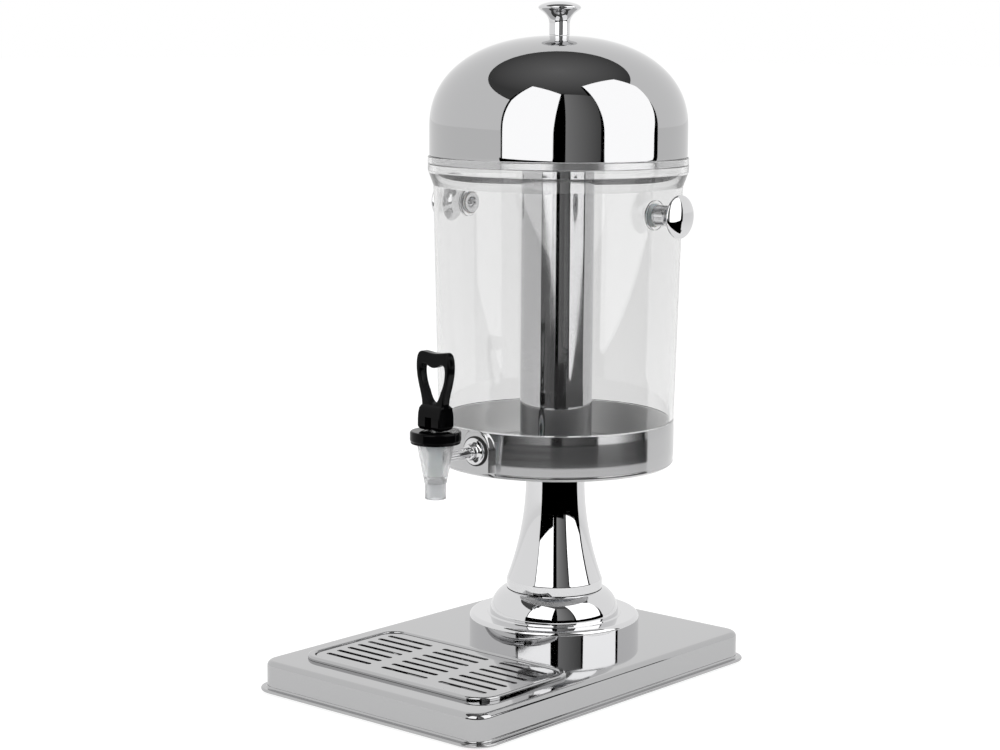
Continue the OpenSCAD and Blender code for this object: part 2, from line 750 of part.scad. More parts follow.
module handle_left() {
    color(polished) translate([-handle_face, pedestal_y, handle_z]) rotate([0, -90, 0]) knob();
}

module handle_right() {
    color(polished) translate([handle_face, pedestal_y, handle_z]) rotate([0, 90, 0]) knob();
}

// A screw with a round head: the head's flat is at the origin and the thread runs along +Z
module pan_screw(radius, length) {
    rotate_extrude() polygon([
        [0, -0.6], [radius * 0.6, -0.6], [radius * 0.6, -3], [radius * 1.2, -2.8], [radius * 1.8, -1.8],
        [radius * 2, 0], [radius, 0], [radius, length - 0.6], [radius - 0.6, length], [0, length]
    ]);
}

module at_handles(depth) {
    for (side = [-1, 1]) translate([side * (handle_inner_face - depth), pedestal_y, handle_z])
        rotate([0, side * 90, 0]) children();
}

module handle_seals() {
    color(white_silicone) at_handles(seal_thickness)
        ring(handle_boss_radius - 2.5, knob_screw_radius + 0.3, 0, seal_thickness);
}

module handle_washers() {
    color(polished) at_handles(seal_thickness + washer_thickness)
        ring(handle_boss_radius - 3.5, knob_screw_radius + 0.3, 0, washer_thickness);
}

module handle_screws() {
    depth = seal_thickness + washer_thickness;
    color(polished) at_handles(depth)
        pan_screw(knob_screw_radius, depth + handle_face - handle_inner_face + knob_length * 0.5);
}

// Closed steel tube for ice, with a rolled rim
module ice_tube() {
    r = ice_tube_radius;
    t = ice_tube_wall;
    color(polished) turned(concat(
        [[0, ice_tube_bottom], [r - 2, ice_tube_bottom], [r, ice_tube_bottom + 2]],
        [[r, ice_tube_top - 2.4]],
        arc_points(r + 0.2, ice_tube_top - 1.2, 1.2, -90, 90),
        [[r - t, ice_tube_top - 0.6], [r - t, ice_tube_bottom + 3], [r - t - 1, ice_tube_bottom + 1.5],
            [0, ice_tube_bottom + 1.5]]
    ));
}

module ice_tube_seal() {
    color(white_silicone) on_axis() ring(ice_tube_radius * 0.8, stud_radius + 0.6, vessel_floor_top, seal_thickness);
}

module ice_tube_stud() {
    bottom = stud_washer_top - washer_thickness - stud_nut_height - 2;
    color(zinc) on_axis() translate([0, 0, bottom]) cylinder(r = stud_radius, h = ice_tube_bottom - bottom);
}

module ice_tube_washer() {
    color(zinc) on_axis() ring(9, stud_radius + 0.3, stud_washer_top - washer_thickness, washer_thickness);
}

module ice_tube_nut() {
    color(zinc) on_axis() translate([0, 0, stud_washer_top - washer_thickness - stud_nut_height])
        hex_nut(stud_nut_flats, stud_radius + thread_gap, stud_nut_height);
}

// Push-in cap of the ice tube
module ice_cap() {
    plug = ice_tube_radius - ice_tube_wall - 0.3;
    brim = ice_tube_radius + 1.6;
    neck = ice_tube_radius * 0.2;
    grip = ice_tube_radius * 0.3;
    rest = ice_tube_top + seat_gap;
    low = rest - ice_cap_depth;
    color(white_silicone) turned([
        [0, low], [plug - 1.5, low], [plug, low + 1.5], [plug, rest], [brim, rest], [brim, rest + 1.6],
        [brim - 0.8, rest + 2.4], [neck, rest + 2.4], [neck, rest + ice_cap_grip * 0.43],
        [grip, rest + ice_cap_grip * 0.7], [grip, rest + ice_cap_grip * 0.86],
        [grip - 1.5, rest + ice_cap_grip * 0.96], [0, rest + ice_cap_grip]
    ]);
}

// Everything on the tap's shank is turned round this line. Distances count outwards, towards -Y.
module on_shank(y) {
    translate([0, y, tap_z]) rotate([90, 0, 0]) children();
}

module tap_washer() {
    color(black_rubber) on_shank(pad_face_y)
        ring(shank_flange_radius + washer_overhang, shank_thread_radius + 0.3, 0, tap_washer_thickness);
}

// Turned shank: thread, flange with a hollow flare, and a bare end that enters the body
module tap_shank() {
    inner_end = land_y + seal_thickness + inner_nut_length + 3;
    flange = inner_end - flange_back_y;
    end = inner_end - socket_y - 0.2;
    hub = shank_hub_radius;
    color(polished) on_shank(inner_end) rotate_extrude() polygon(concat(
        [[shank_bore_radius, 0], [shank_thread_radius - 0.8, 0], [shank_thread_radius, 0.8],
            [shank_thread_radius, flange], [shank_flange_radius - 0.3, flange], [shank_flange_radius, flange + 0.4]],
        curve_points([shank_flange_radius - 0.3, flange + 0.9], [hub + 2.5, flange + 1.2],
            [hub + 0.6, flange + 2.4], [hub, flange + 5], 6),
        [[hub, flange + 5], [hub, flange + 7.2], [hub - 0.6, flange + 7.8], [shank_radius, flange + 8],
            [shank_radius, end], [shank_bore_radius, end]]
    ));
}

module tap_inner_seal() {
    color(white_silicone) on_shank(land_y + seal_thickness)
        ring(shank_thread_radius + 5, shank_thread_radius + thread_gap, 0, seal_thickness);
}

module tap_inner_nut() {
    color(white_silicone) on_shank(land_y + seal_thickness + inner_nut_length) rotate([0, 0, 30])
        hex_nut(inner_nut_flats, shank_thread_radius + thread_gap, inner_nut_length);
}

module at_tap() {
    translate([0, tap_y, 0]) children();
}

// Tapered valve body with the socket that takes the shank
module tap_body() {
    inner_low = body_low_radius - body_wall;
    inner_top = body_top_radius - body_wall - 0.4;
    color(frosted_plastic) difference() {
        at_tap() rotate_extrude() polygon([
            [0, body_bottom], [body_low_radius, body_bottom], [body_top_radius, body_top - 1],
            [body_top_radius, body_top], [neck_radius, body_top], [neck_radius, neck_top], [0, neck_top]
        ]);
        difference() {
            at_tap() rotate_extrude() polygon([
                [0, seat_z], [inner_low, seat_z], [inner_top, body_top - 3], [inner_top, neck_top + 1],
                [0, neck_top + 1]
            ]);
            on_shank(tap_y + body_top_radius) cylinder(r = socket_radius, h = tap_y + body_top_radius - socket_y);
        }
        at_tap() translate([0, 0, body_bottom - bore_over]) cylinder(r = nozzle_bore_radius, h = body_drop);
        at_tap() translate([0, 0, body_bottom - bore_over])
            cylinder(r = nozzle_bore_radius + 1.5, h = 4 + bore_over);
        on_shank(tap_y + body_top_radius + bore_over)
            cylinder(r = shank_radius + thread_gap, h = body_top_radius + 2 * bore_over - socket_y + tap_y);
    }
}

// Nozzle with the spigot that enters the body
module tap_nozzle() {
    bottom = body_bottom - nozzle_length;
    spigot = nozzle_bore_radius + 1.5 - thread_gap;
    color(clear_plastic) at_tap() rotate_extrude() polygon([
        [nozzle_bore_radius, bottom + 0.6], [nozzle_bore_radius + 0.6, bottom], [nozzle_radius - 0.4, bottom],
        [nozzle_radius, bottom + 0.4], [nozzle_radius, body_bottom], [spigot, body_bottom],
        [spigot, body_bottom + 3.8], [nozzle_bore_radius, body_bottom + 3.8]
    ]);
}

// Ring nut that closes the body and guides the stem
module tap_bonnet() {
    thread = neck_radius + thread_gap;
    pocket = neck_top + cup_flange_thickness + 0.3;
    color(black_plastic) at_tap() rotate_extrude() polygon([
        [thread, bonnet_bottom], [bonnet_radius - 1.2, bonnet_bottom], [bonnet_radius, bonnet_bottom + 1],
        [bonnet_radius, bonnet_top - 2.6], [bonnet_radius - 0.6, bonnet_top - 2], [bonnet_radius - 1, bonnet_top - 0.8],
        [bonnet_radius - 1.8, bonnet_top], [stem_radius + 0.3, bonnet_top], [stem_radius + 0.3, pocket],
        [thread, pocket]
    ]);
}

// Soft bell that seals the outlet and closes it again. A lip in its tip holds the stem's foot.
module tap_seat_cup() {
    tip = seat_z + seat_gap;
    brim = neck_top + 0.2;
    pocket = stem_radius + 1.2;
    throat = stem_radius + 0.3;
    color(white_silicone) at_tap() rotate_extrude() polygon([
        [0, tip], [bell_tip_radius, tip], [bell_tip_radius, tip + 8], [5.6, tip + 9],
        [5.6, body_top - 6], [9.5, brim - 2], [neck_radius - 3.6, brim], [neck_radius - 0.3, brim],
        [neck_radius - 0.3, brim + cup_flange_thickness - 0.2], [8.4, brim + cup_flange_thickness - 0.2],
        [7.4, brim - 1.4], [4.2, body_top - 6.4], [throat, body_top - 9], [throat, tip + 5.2],
        [pocket, tip + 5.2], [pocket, tip + 2.6], [0, tip + 2.6]
    ]);
}

// Plunger: foot in the bell, rod, and a flat head for the pin
module tap_stem() {
    foot = seat_z + seat_gap + 2.9;
    head_low = bonnet_top + lever_gap;
    color(polished) difference() {
        union() {
            at_tap() translate([0, 0, foot]) cylinder(r = stem_radius, h = head_low - foot + 1);
            at_tap() translate([0, 0, foot]) cylinder(r = stem_radius + 0.9, h = 2);
            translate([-head_half_width, tap_y - 3.1, head_low])
                cube([2 * head_half_width, 6.2, lever_pin_height + pin_radius + 2.6]);
        }
        translate([-head_half_width - bore_over, tap_y, pin_z]) rotate([0, 90, 0])
            cylinder(r = pin_radius + 0.02, h = 2 * (head_half_width + bore_over));
    }
}

module tap_pin() {
    length = lever_foot_width - 0.4;
    color(polished) translate([-length / 2, tap_y, pin_z]) rotate([0, 90, 0])
        cylinder(r = pin_radius, h = length);
}

// Point of the foot's working face that touches the bonnet at a tilt, seen from the side.
// The face is the involute that lifts the stem by an equal amount for every degree.
function cam_point(tilt) = let (reach = lever_pin_height + lever_lift * tilt / degrees_per_radian)
    [reach * sin(tilt) + lever_lift * cos(tilt), -reach * cos(tilt) + lever_lift * sin(tilt)];

function cam_face() = [for (i = [0:8]) cam_point(lever_travel * i / 8)];

module lever_foot_side() {
    face = cam_face();
    belly = face[8];
    waist = lever_shoulder * 0.26;
    chest = lever_shoulder * 0.7;
    polygon(concat(
        mirrored_back(face), face,
        [[belly[0], waist], [belly[0] * 0.92, chest], [loop_thickness / 2, lever_shoulder],
            [-loop_thickness / 2, lever_shoulder], [-belly[0] * 0.92, chest], [-belly[0], waist]]
    ));
}

module lever_foot_front() {
    half = lever_foot_width / 2;
    polygon(concat(
        arc_points(half - lever_round, -lever_pin_height + lever_round, lever_round, -90, 0),
        [[half, lever_shoulder], [-half, lever_shoulder]],
        arc_points(-half + lever_round, -lever_pin_height + lever_round, lever_round, 180, 270)
    ));
}

// Right half of the loop's outside, from the shoulder up to the dip in its top
function loop_outer_half() =
    let (half = loop_half_width, foot = lever_shoulder, top = lever_shoulder + loop_height,
        neck = lever_foot_width / 2, dip = loop_bar * 0.26)
    concat(
        [[neck, foot * 0.68]],
        curve_points([neck, foot], [neck + 0.4, foot + loop_height * 0.22],
            [half, foot + loop_height * 0.42], [half, foot + loop_height * 0.72]),
        curve_points([half, foot + loop_height * 0.72], [half, foot + loop_height * 0.92],
            [half * 0.88, top + 0.2], [half * 0.65, top]),
        curve_points([half * 0.65, top], [half * 0.45, top - 0.2], [half * 0.26, top - dip], [0, top - dip], 5)
    );

// Right half of the finger hole, from the bulge under the top bar down to its point
function loop_hole_half() =
    let (half = loop_half_width - loop_bar, foot = lever_shoulder * 1.26, top = lever_shoulder + loop_height,
        bulge = top - loop_bar * 2.1, crest = top - loop_bar * 1.4)
    concat(
        curve_points([0, bulge], [half * 0.35, bulge], [half * 0.55, crest + 0.6], [half * 0.82, crest], 5),
        curve_points([half * 0.82, crest], [half * 1.18, crest - 0.5], [half * 1.02, foot + loop_height * 0.4],
            [half * 0.68, foot + loop_height * 0.24]),
        curve_points([half * 0.68, foot + loop_height * 0.24], [half * 0.48, foot + loop_height * 0.14],
            [half * 0.13, foot + loop_height * 0.05], [0, foot], 5)
    );

// Handle: loop, shoulder and forked cam foot in one moulding
module tap_handle() {
    outer = loop_outer_half();
    hole = loop_hole_half();
    foot_depth = 2 * (cam_point(lever_travel)[0] + 1);
    color(black_plastic) translate([0, tap_y, pin_z]) difference() {
        union() {
            intersection() {
                rotate([90, 0, 90]) linear_extrude(lever_foot_width, center = true) lever_foot_side();
                rotate([90, 0, 0]) linear_extrude(foot_depth, center = true) lever_foot_front();
            }
            rotate([90, 0, 0]) linear_extrude(loop_thickness, center = true) difference() {
                polygon(concat(outer, mirrored_back(outer)));
                polygon(concat(hole, [[0, lever_shoulder * 1.26]], mirrored_back(hole)));
            }
        }
        translate([-lever_slot / 2, -foot_depth / 2, -lever_pin_height - 1])
            cube([lever_slot, foot_depth, lever_pin_height + 1 + pin_radius + 4.6]);
        translate([-lever_foot_width, 0, 0]) rotate([0, 90, 0])
            cylinder(r = pin_radius + pin_gap, h = 2 * lever_foot_width);
    }
}

// Outline of the dome from its skirt to its flat top, drawn in by an inset
function dome_points(inset) = [for (i = [0:curve_steps]) let (
    across = (dome_radius - inset) * cos(90 * i / curve_steps),
    flat = knob_stem_radius + 1,
    share = max(across, flat) / (dome_radius - inset)
) [across, dome_spring + (dome_rise - inset) * full_curve(share, dome_fullness)]];

// Spun dome with a hole for the knob's screw
module lid_dome() {
    inner = dome_points(dome_sheet);
    color(polished) difference() {
        turned(concat(
            [[dome_radius, lid_bottom]], dome_points(0),
            [for (i = [curve_steps:-1:0]) inner[i]],
            [[dome_radius - dome_sheet, lid_bottom]]
        ));
        on_axis() translate([0, 0, dome_spring]) cylinder(r = knob_screw_radius + 0.3, h = dome_rise + bore_over);
    }
}

// Angle ring inside the dome that centres the lid in the vessel's mouth
module lid_ring() {
    t = dome_sheet;
    out = dome_radius - dome_sheet - 0.1;
    color(polished) turned([
        [lid_ring_radius - t, lid_bottom - lid_ring_depth], [lid_ring_radius, lid_bottom - lid_ring_depth],
        [lid_ring_radius, lid_bottom], [out, lid_bottom], [out, lid_bottom + t], [lid_ring_radius - t, lid_bottom + t]
    ]);
}

module lid_knob() {
    color(polished) on_axis() translate([0, 0, dome_top]) knob();
}

module lid_knob_washer() {
    color(polished) on_axis() ring(knob_stem_radius - 0.4, knob_screw_radius + 0.3,
        dome_top - dome_sheet - washer_thickness - 0.2, washer_thickness);
}

module lid_knob_screw() {
    color(polished) on_axis() translate([0, 0, dome_top - dome_sheet - washer_thickness - 0.4])
        pan_screw(knob_screw_radius, dome_sheet + washer_thickness + knob_length * 0.5);
}

base_cover();
foot_rails();
rubber_feet();
base_stiffener();
pedestal_foot();
column();
column_head();
seat_pad();
tie_rod();
tie_washer();
tie_nut();
drip_pan();
drip_grid();
cup();
floor_gasket();
vessel();
handle_left();
handle_right();
handle_screws();
handle_washers();
handle_seals();
ice_tube();
ice_tube_seal();
ice_tube_stud();
ice_tube_washer();
ice_tube_nut();
ice_cap();
tap_washer();
tap_shank();
tap_inner_seal();
tap_inner_nut();
tap_body();
tap_nozzle();
tap_bonnet();
tap_seat_cup();
tap_stem();
tap_pin();
tap_handle();
lid_dome();
lid_ring();
lid_knob();
lid_knob_washer();
lid_knob_screw();
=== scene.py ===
# %% [markdown]
# # A juice dispenser in steel, clear plastic and black plastic
# The solids come from the CAD model and stay where they are. This lesson dresses them: it turns, presses
# and moulds a finer skin over the pieces that catch the light, and gives every piece a finish made of nodes.
# All sizes are written in millimetres and turned into metres when a mesh is made.

# %% Load the frame
import math
from functools import partial

import bmesh
import bpy
from mathutils import Matrix, Vector


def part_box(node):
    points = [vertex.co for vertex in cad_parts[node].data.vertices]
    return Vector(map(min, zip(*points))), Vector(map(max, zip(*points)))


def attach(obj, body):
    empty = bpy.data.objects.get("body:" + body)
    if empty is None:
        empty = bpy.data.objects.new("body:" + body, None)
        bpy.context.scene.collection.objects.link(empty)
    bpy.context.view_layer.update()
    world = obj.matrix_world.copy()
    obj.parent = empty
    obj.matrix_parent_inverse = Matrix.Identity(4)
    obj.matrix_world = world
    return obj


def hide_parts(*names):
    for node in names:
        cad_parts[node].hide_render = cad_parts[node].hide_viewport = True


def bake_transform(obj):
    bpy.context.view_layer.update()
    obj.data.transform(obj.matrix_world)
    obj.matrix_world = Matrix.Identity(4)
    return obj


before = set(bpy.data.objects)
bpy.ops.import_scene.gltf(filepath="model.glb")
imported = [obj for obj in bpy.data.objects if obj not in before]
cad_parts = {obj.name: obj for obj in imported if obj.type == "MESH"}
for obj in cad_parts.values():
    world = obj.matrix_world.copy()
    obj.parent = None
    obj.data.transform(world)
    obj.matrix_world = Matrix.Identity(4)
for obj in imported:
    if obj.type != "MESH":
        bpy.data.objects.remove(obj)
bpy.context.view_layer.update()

MM = 0.001


# %% Places that the frame gives
def box_mm(node):
    """Lowest and highest corner of a CAD node, in millimetres."""
    low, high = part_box(node)
    return low / MM, high / MM


def radius_mm(node):
    """Outer radius of a turned CAD node."""
    low, high = box_mm(node)
    return (high.x - low.x) / 2


vessel_low, vessel_high = box_mm("vessel")
AXIS_Y = (vessel_low.y + vessel_high.y) / 2
nozzle_low, nozzle_high = box_mm("tap_nozzle")
TAP_Y = (nozzle_low.y + nozzle_high.y) / 2
shank_low, shank_high = box_mm("tap_shank")
SHANK_Z = (shank_low.z + shank_high.z) / 2
PIN_Z = sum(corner.z for corner in box_mm("tap_pin")) / 2
for label, value in (("pedestal axis y", AXIS_Y), ("tap axis y", TAP_Y), ("shank z", SHANK_Z)):
    print(label, round(value, 2))


# %% [markdown]
# ## Outlines
# Spun, turned and moulded pieces have no sharp edges, and a real edge is what makes metal look like metal.
# So each outline is written as a few corners, and a corner may carry a radius that is then rounded off.
# Free curves, such as a knob's flank, are cubic curves through named points.

# %% Outline helpers
def rounded(corners, steps=6):
    """A closed outline from corners (x, y) or (x, y, radius)."""
    outline = []
    for i, corner in enumerate(corners):
        here = Vector(corner[:2])
        radius = corner[2] if len(corner) > 2 else 0
        if not radius:
            outline.append(here)
            continue
        back = (Vector(corners[i - 1][:2]) - here).normalized()
        ahead = (Vector(corners[(i + 1) % len(corners)][:2]) - here).normalized()
        half = math.acos(max(-1, min(1, back.dot(ahead)))) / 2
        middle = here + (back + ahead).normalized() * radius / math.sin(half)
        start = here + back * radius / math.tan(half) - middle
        end = here + ahead * radius / math.tan(half) - middle
        turn = math.atan2(start.x * end.y - start.y * end.x, start.dot(end))
        outline += [middle + Matrix.Rotation(turn * s / steps, 2) @ start for s in range(steps + 1)]
    return outline


def cubic(p0, p1, p2, p3, steps=12):
    """Points on a cubic curve, without its last point."""
    p0, p1, p2, p3 = map(Vector, (p0, p1, p2, p3))
    points = []
    for i in range(steps):
        t = i / steps
        s = 1 - t
        points.append(s ** 3 * p0 + 3 * s * s * t * p1 + 3 * s * t * t * p2 + t ** 3 * p3)
    return points


def mirrored(points):
    """The same outline on the other side of the vertical axis, in reverse order."""
    return [Vector((-p[0], p[1])) for p in reversed(points)]


def full_curve(share, fullness):
    """Height of a full curve over its radius, where 2 is a quarter of an ellipse."""
    return max(0.0, 1 - share ** fullness) ** (1 / fullness)


print("a square with round corners has", len(rounded([(0, 0, 1), (4, 0, 1), (4, 4, 1), (0, 4, 1)])), "points")


# %% [markdown]
# ## From an outline to a mesh
# A lathe turns an outline round an axis. A frame sweep carries it round a rectangle with round corners, as
# a press does with sheet. Both merge their doubles and turn their faces outwards at the end, so seams and
# poles are closed. Weighted normals keep flat faces flat beside small roundings.

# %% Mesh helpers
def add_object(name, data):
    """A new object in the scene."""
    made = bpy.data.objects.new(name, data)
    bpy.context.scene.collection.objects.link(made)
    return made


def new_piece(name, points, faces):
    """A mesh object from points in millimetres, closed and with its faces outwards."""
    mesh = bpy.data.meshes.new(name)
    mesh.from_pydata([Vector(p) * MM for p in points], [], faces)
    piece = add_object(name, mesh)
    tidy(piece)
    return piece


def tidy(piece, merge=2e-6):
    """Merges points closer than a few millionths of a metre, and turns the faces outwards."""
    bm = bmesh.new()
    bm.from_mesh(piece.data)
    bmesh.ops.remove_doubles(bm, verts=bm.verts, dist=merge)
    bmesh.ops.dissolve_degenerate(bm, edges=bm.edges, dist=merge)
    bmesh.ops.recalc_face_normals(bm, faces=bm.faces)
    bm.to_mesh(piece.data)
    bm.free()


def smooth(piece, angle=34):
    """Smooth shading with sharp edges over an angle, and normals weighted by area."""
    piece.data.shade_smooth()
    piece.data.set_sharp_from_angle(angle=math.radians(angle))
    weighted = piece.modifiers.new("weighted normals", "WEIGHTED_NORMAL")
    weighted.keep_sharp = True
    return piece


def lathe(name, outline, place=None, steps=160):
    """Turns a closed outline of (radius, height) round an axis."""
    place = place or Matrix.Translation((0, AXIS_Y, 0))
    points, faces = [], []
    count = len(outline)
    for s in range(steps):
        angle = math.tau * s / steps
        cosine, sine = math.cos(angle), math.sin(angle)
        points += [place @ Vector((p[0] * cosine, p[0] * sine, p[1])) for p in outline]
    for s in range(steps):
        here, after = s * count, (s + 1) % steps * count
        for i in range(count):
            k = (i + 1) % count
            faces.append((here + i, after + i, after + k, here + k))
    return new_piece(name, points, faces)


def frame_ring(width, length, corner, reach, height, centre_y=0, steps=12):
    """Points round a rectangle whose corners have their centres a corner radius inside its sides."""
    ring = []
    for quarter, (sx, sy) in enumerate([(1, 1), (-1, 1), (-1, -1), (1, -1)]):
        for s in range(steps + 1):
            angle = math.pi / 2 * (quarter + s / steps)
            ring.append((
                sx * (width / 2 - corner) + reach * math.cos(angle),
                sy * (length / 2 - corner) + reach * math.sin(angle) + centre_y,
                height,
            ))
    return ring


def ring_faces(start, count, rings, closed=False):
    """Quads between rings of points that were added one after the other."""
    faces = []
    for r in range(rings if closed else rings - 1):
        low, high = start + r * count, start + (r + 1) % rings * count
        for i in range(count):
            k = (i + 1) % count
            faces.append((low + i, low + k, high + k, high + i))
    return faces


def result_of(piece):
    """The piece's mesh after its modifiers, as a plain mesh."""
    bpy.context.view_layer.update()
    evaluated = piece.evaluated_get(bpy.context.evaluated_depsgraph_get())
    return bpy.data.meshes.new_from_object(evaluated)


def settle(piece):
    """Applies a piece's modifiers to its mesh."""
    mesh = result_of(piece)
    piece.modifiers.clear()
    piece.data = mesh
    return piece


def combine(piece, tool, how):
    """Cuts a tool out of a piece, or joins it, and removes the tool."""
    step = piece.modifiers.new(how.lower(), "BOOLEAN")
    step.operation = how
    step.solver = "EXACT"
    step.object = tool
    settle(piece)
    bpy.data.objects.remove(tool)
    tidy(piece)
    return piece


def thickened(piece, sheet, even=False):
    """Gives an open skin the thickness of its sheet, on its inner side."""
    thick = piece.modifiers.new("sheet", "SOLIDIFY")
    thick.thickness, thick.offset = sheet * MM, -1
    thick.use_even_offset = even
    return smooth(settle(piece), 40)


def map_upward(piece):
    """A UV map whose first direction runs up the wall, for the smear of a brushed or drawn sheet."""
    layer = piece.data.uv_layers.new(name="sheet")
    for loop in piece.data.loops:
        x, y, z = piece.data.vertices[loop.vertex_index].co
        layer.data[loop.index].uv = (z - math.hypot(x, y - AXIS_Y * MM), math.atan2(x, y - AXIS_Y * MM))


def facing_out(piece, inside):
    """Turns an open skin so that its faces point away from an inner point."""
    score = sum((p.center - inside).dot(p.normal) * p.area for p in piece.data.polygons)
    if score < 0:
        piece.data.flip_normals()


FORWARD = Matrix.Rotation(math.pi / 2, 4, "X")


def sideways(side):
    """Lays the upward direction to the left for -1 and to the right for 1."""
    return Matrix.Rotation(side * math.pi / 2, 4, "Y")


def drill(piece, radius, depth, place, steps=48):
    """Cuts a round hole that starts at a place."""
    tool = lathe("drill", [(0, 0), (radius, 0), (radius, depth), (0, depth)], place, steps)
    return combine(piece, tool, "DIFFERENCE")


def add_boss(piece, radius, height, place, foot_edge, top_edge=0):
    """Joins a round boss that starts at a place."""
    outline = rounded([(0, 0), (radius, 0, foot_edge), (radius, height, top_edge), (0, height)], 4)
    return combine(piece, lathe("boss", outline, place, 64), "UNION")


print("helpers: lathe, frame sweep, boolean, drill, boss")


# %% [markdown]
# ## Shared effects
# Three groups of nodes serve the finishes. One lays fine brushing round the pedestal's axis, one lays a
# faint cloud of handling marks over a surface, and one gives moulded plastic its slightly uneven skin.
# Each group has named inputs and puts out only values or normals that change over the surface.

# %% Node helpers
def node_group(name, inputs, outputs):
    """A shader node group with named sockets."""
    group = bpy.data.node_groups.new(name, "ShaderNodeTree")
    for label, value in inputs.items():
        socket = group.interface.new_socket(label, in_out="INPUT", socket_type="NodeSocketFloat")
        socket.default_value = value
    for label, kind in outputs.items():
        group.interface.new_socket(label, in_out="OUTPUT", socket_type=kind)
    return group, group.nodes.new("NodeGroupInput"), group.nodes.new("NodeGroupOutput")


def node(tree, kind, settings=None, **inputs):
    """Adds a node with settings and inputs by name, or i0, i1 by number. An input is a value or a socket."""
    made = tree.nodes.new(kind)
    for label, value in (settings or {}).items():
        setattr(made, label, value)
    for label, value in inputs.items():
        key = int(label[1:]) if label[0] == "i" and label[1:].isdigit() else label.replace("_", " ")
        socket = made.inputs[key]
        if isinstance(value, bpy.types.NodeSocket):
            tree.links.new(value, socket)
        else:
            socket.default_value = value
    return made


def maths(tree, how, *values):
    """One Math node, and its result."""
    inputs = {f"i{i}": value for i, value in enumerate(values)}
    return node(tree, "ShaderNodeMath", {"operation": how}, **inputs).outputs[0]


def vector_maths(tree, how, *values):
    """One Vector Math node, and its result: a number for a length or a product, or else a vector."""
    inputs = {f"i{i}": value for i, value in enumerate(values)}
    made = node(tree, "ShaderNodeVectorMath", {"operation": how}, **inputs)
    return made.outputs["Value" if how in ("LENGTH", "DOT_PRODUCT") else "Vector"]


def spread(tree, value, low, high, start=0.0, end=1.0):
    """Maps a value that runs from start to end to one that runs from low to high, and no further."""
    return node(
        tree, "ShaderNodeMapRange", Value=value, From_Min=start, From_Max=end, To_Min=low, To_Max=high
    ).outputs["Result"]


def vector(tree, **parts):
    """A vector from its X, Y and Z."""
    return node(tree, "ShaderNodeCombineXYZ", **parts).outputs[0]


def object_place(tree):
    """The shaded point's own place, in metres."""
    return node(tree, "ShaderNodeTexCoord").outputs["Object"]


def object_height(tree):
    """The shaded point's own height, in metres."""
    return node(tree, "ShaderNodeSeparateXYZ", Vector=object_place(tree)).outputs["Z"]


def noise_at(tree, place, scale, detail, roughness=0.5):
    """A cloudy value between 0 and 1."""
    return node(
        tree, "ShaderNodeTexNoise", Vector=place, Scale=scale, Detail=detail, Roughness=roughness
    ).outputs["Fac"]


def bump_from(tree, height, strength, distance):
    """A normal that follows a height."""
    return node(
        tree, "ShaderNodeBump", Height=height, Strength=strength, Distance=distance
    ).outputs["Normal"]


print("node helpers ready")


# %% Brushing round the axis
def make_turned_grain():
    """Fine lines that run round the pedestal's axis, as a brush leaves them on a spun piece."""
    group, given, out = node_group(
        "turned_grain",
        {"Axis Y": 0.06, "Lines": 900.0, "Length": 6.0},
        {"Height": "NodeSocketFloat", "Streak": "NodeSocketFloat"},
    )
    parts = node(group, "ShaderNodeSeparateXYZ", Vector=object_place(group)).outputs
    turn = maths(group, "ARCTAN2", parts["X"], maths(group, "SUBTRACT", parts["Y"], given.outputs["Axis Y"]))
    along = maths(group, "MULTIPLY", turn, given.outputs["Length"])
    across = maths(group, "MULTIPLY", parts["Z"], given.outputs["Lines"])
    spot = vector(group, X=along, Y=across)
    group.links.new(noise_at(group, spot, 1.0, 3.0, 0.6), out.inputs["Height"])
    group.links.new(noise_at(group, spot, 0.12, 2.0), out.inputs["Streak"])
    return group


def make_handling_haze():
    """A faint cloudy film with a low and a high value, for roughness."""
    group, given, out = node_group(
        "handling_haze", {"Scale": 14.0, "Low": 0.03, "High": 0.08}, {"Roughness": "NodeSocketFloat"}
    )
    given = given.outputs
    cloud = noise_at(group, object_place(group), given["Scale"], 4.0, 0.55)
    film = spread(group, cloud, given["Low"], given["High"], 0.35, 0.7)
    group.links.new(film, out.inputs["Roughness"])
    return group


def make_moulded_skin():
    """The slightly uneven skin of a moulded piece, as a normal."""
    group, given, out = node_group(
        "moulded_skin", {"Scale": 260.0, "Strength": 0.08}, {"Normal": "NodeSocketVector"}
    )
    given = given.outputs
    cloud = noise_at(group, object_place(group), given["Scale"], 2.0)
    group.links.new(bump_from(group, cloud, given["Strength"], 0.0004), out.inputs["Normal"])
    return group


turned_grain = make_turned_grain()
handling_haze = make_handling_haze()
moulded_skin = make_moulded_skin()
print("groups:", [group.name for group in bpy.data.node_groups])


# %% [markdown]
# ## Finishes
# Polished steel is a metal with almost no roughness: nearly all of its look is the room it reflects. The
# cup has the same steel under a fine brush. The vessel is clear polycarbonate, the tap's body a frosted
# plastic, and its bonnet and handle are glossy black. Numbers that are the same all over a surface are set
# on the shader itself, and only what changes over the surface comes through nodes.

# %% Finish helpers
def finish(name, colour, **sockets):
    """A material with a Principled shader, its colour and its plain sockets set."""
    material = bpy.data.materials.new(name)
    material.use_nodes = True
    shader = material.node_tree.nodes["Principled BSDF"]
    shader.inputs["Base Color"].default_value = (*colour, 1)
    for label, value in sockets.items():
        shader.inputs[label.replace("_", " ")].default_value = value
    return material, shader


def placed_group(material, group, **values):
    """Puts a shared group into a material, with this material's own values."""
    made = material.node_tree.nodes.new("ShaderNodeGroup")
    made.node_tree = group
    for label, value in values.items():
        made.inputs[label.replace("_", " ")].default_value = value
    return made


def feed(shader, **sources):
    """Lets nodes drive inputs of a shader."""
    for label, source in sources.items():
        shader.id_data.links.new(source, shader.inputs[label.replace("_", " ")])


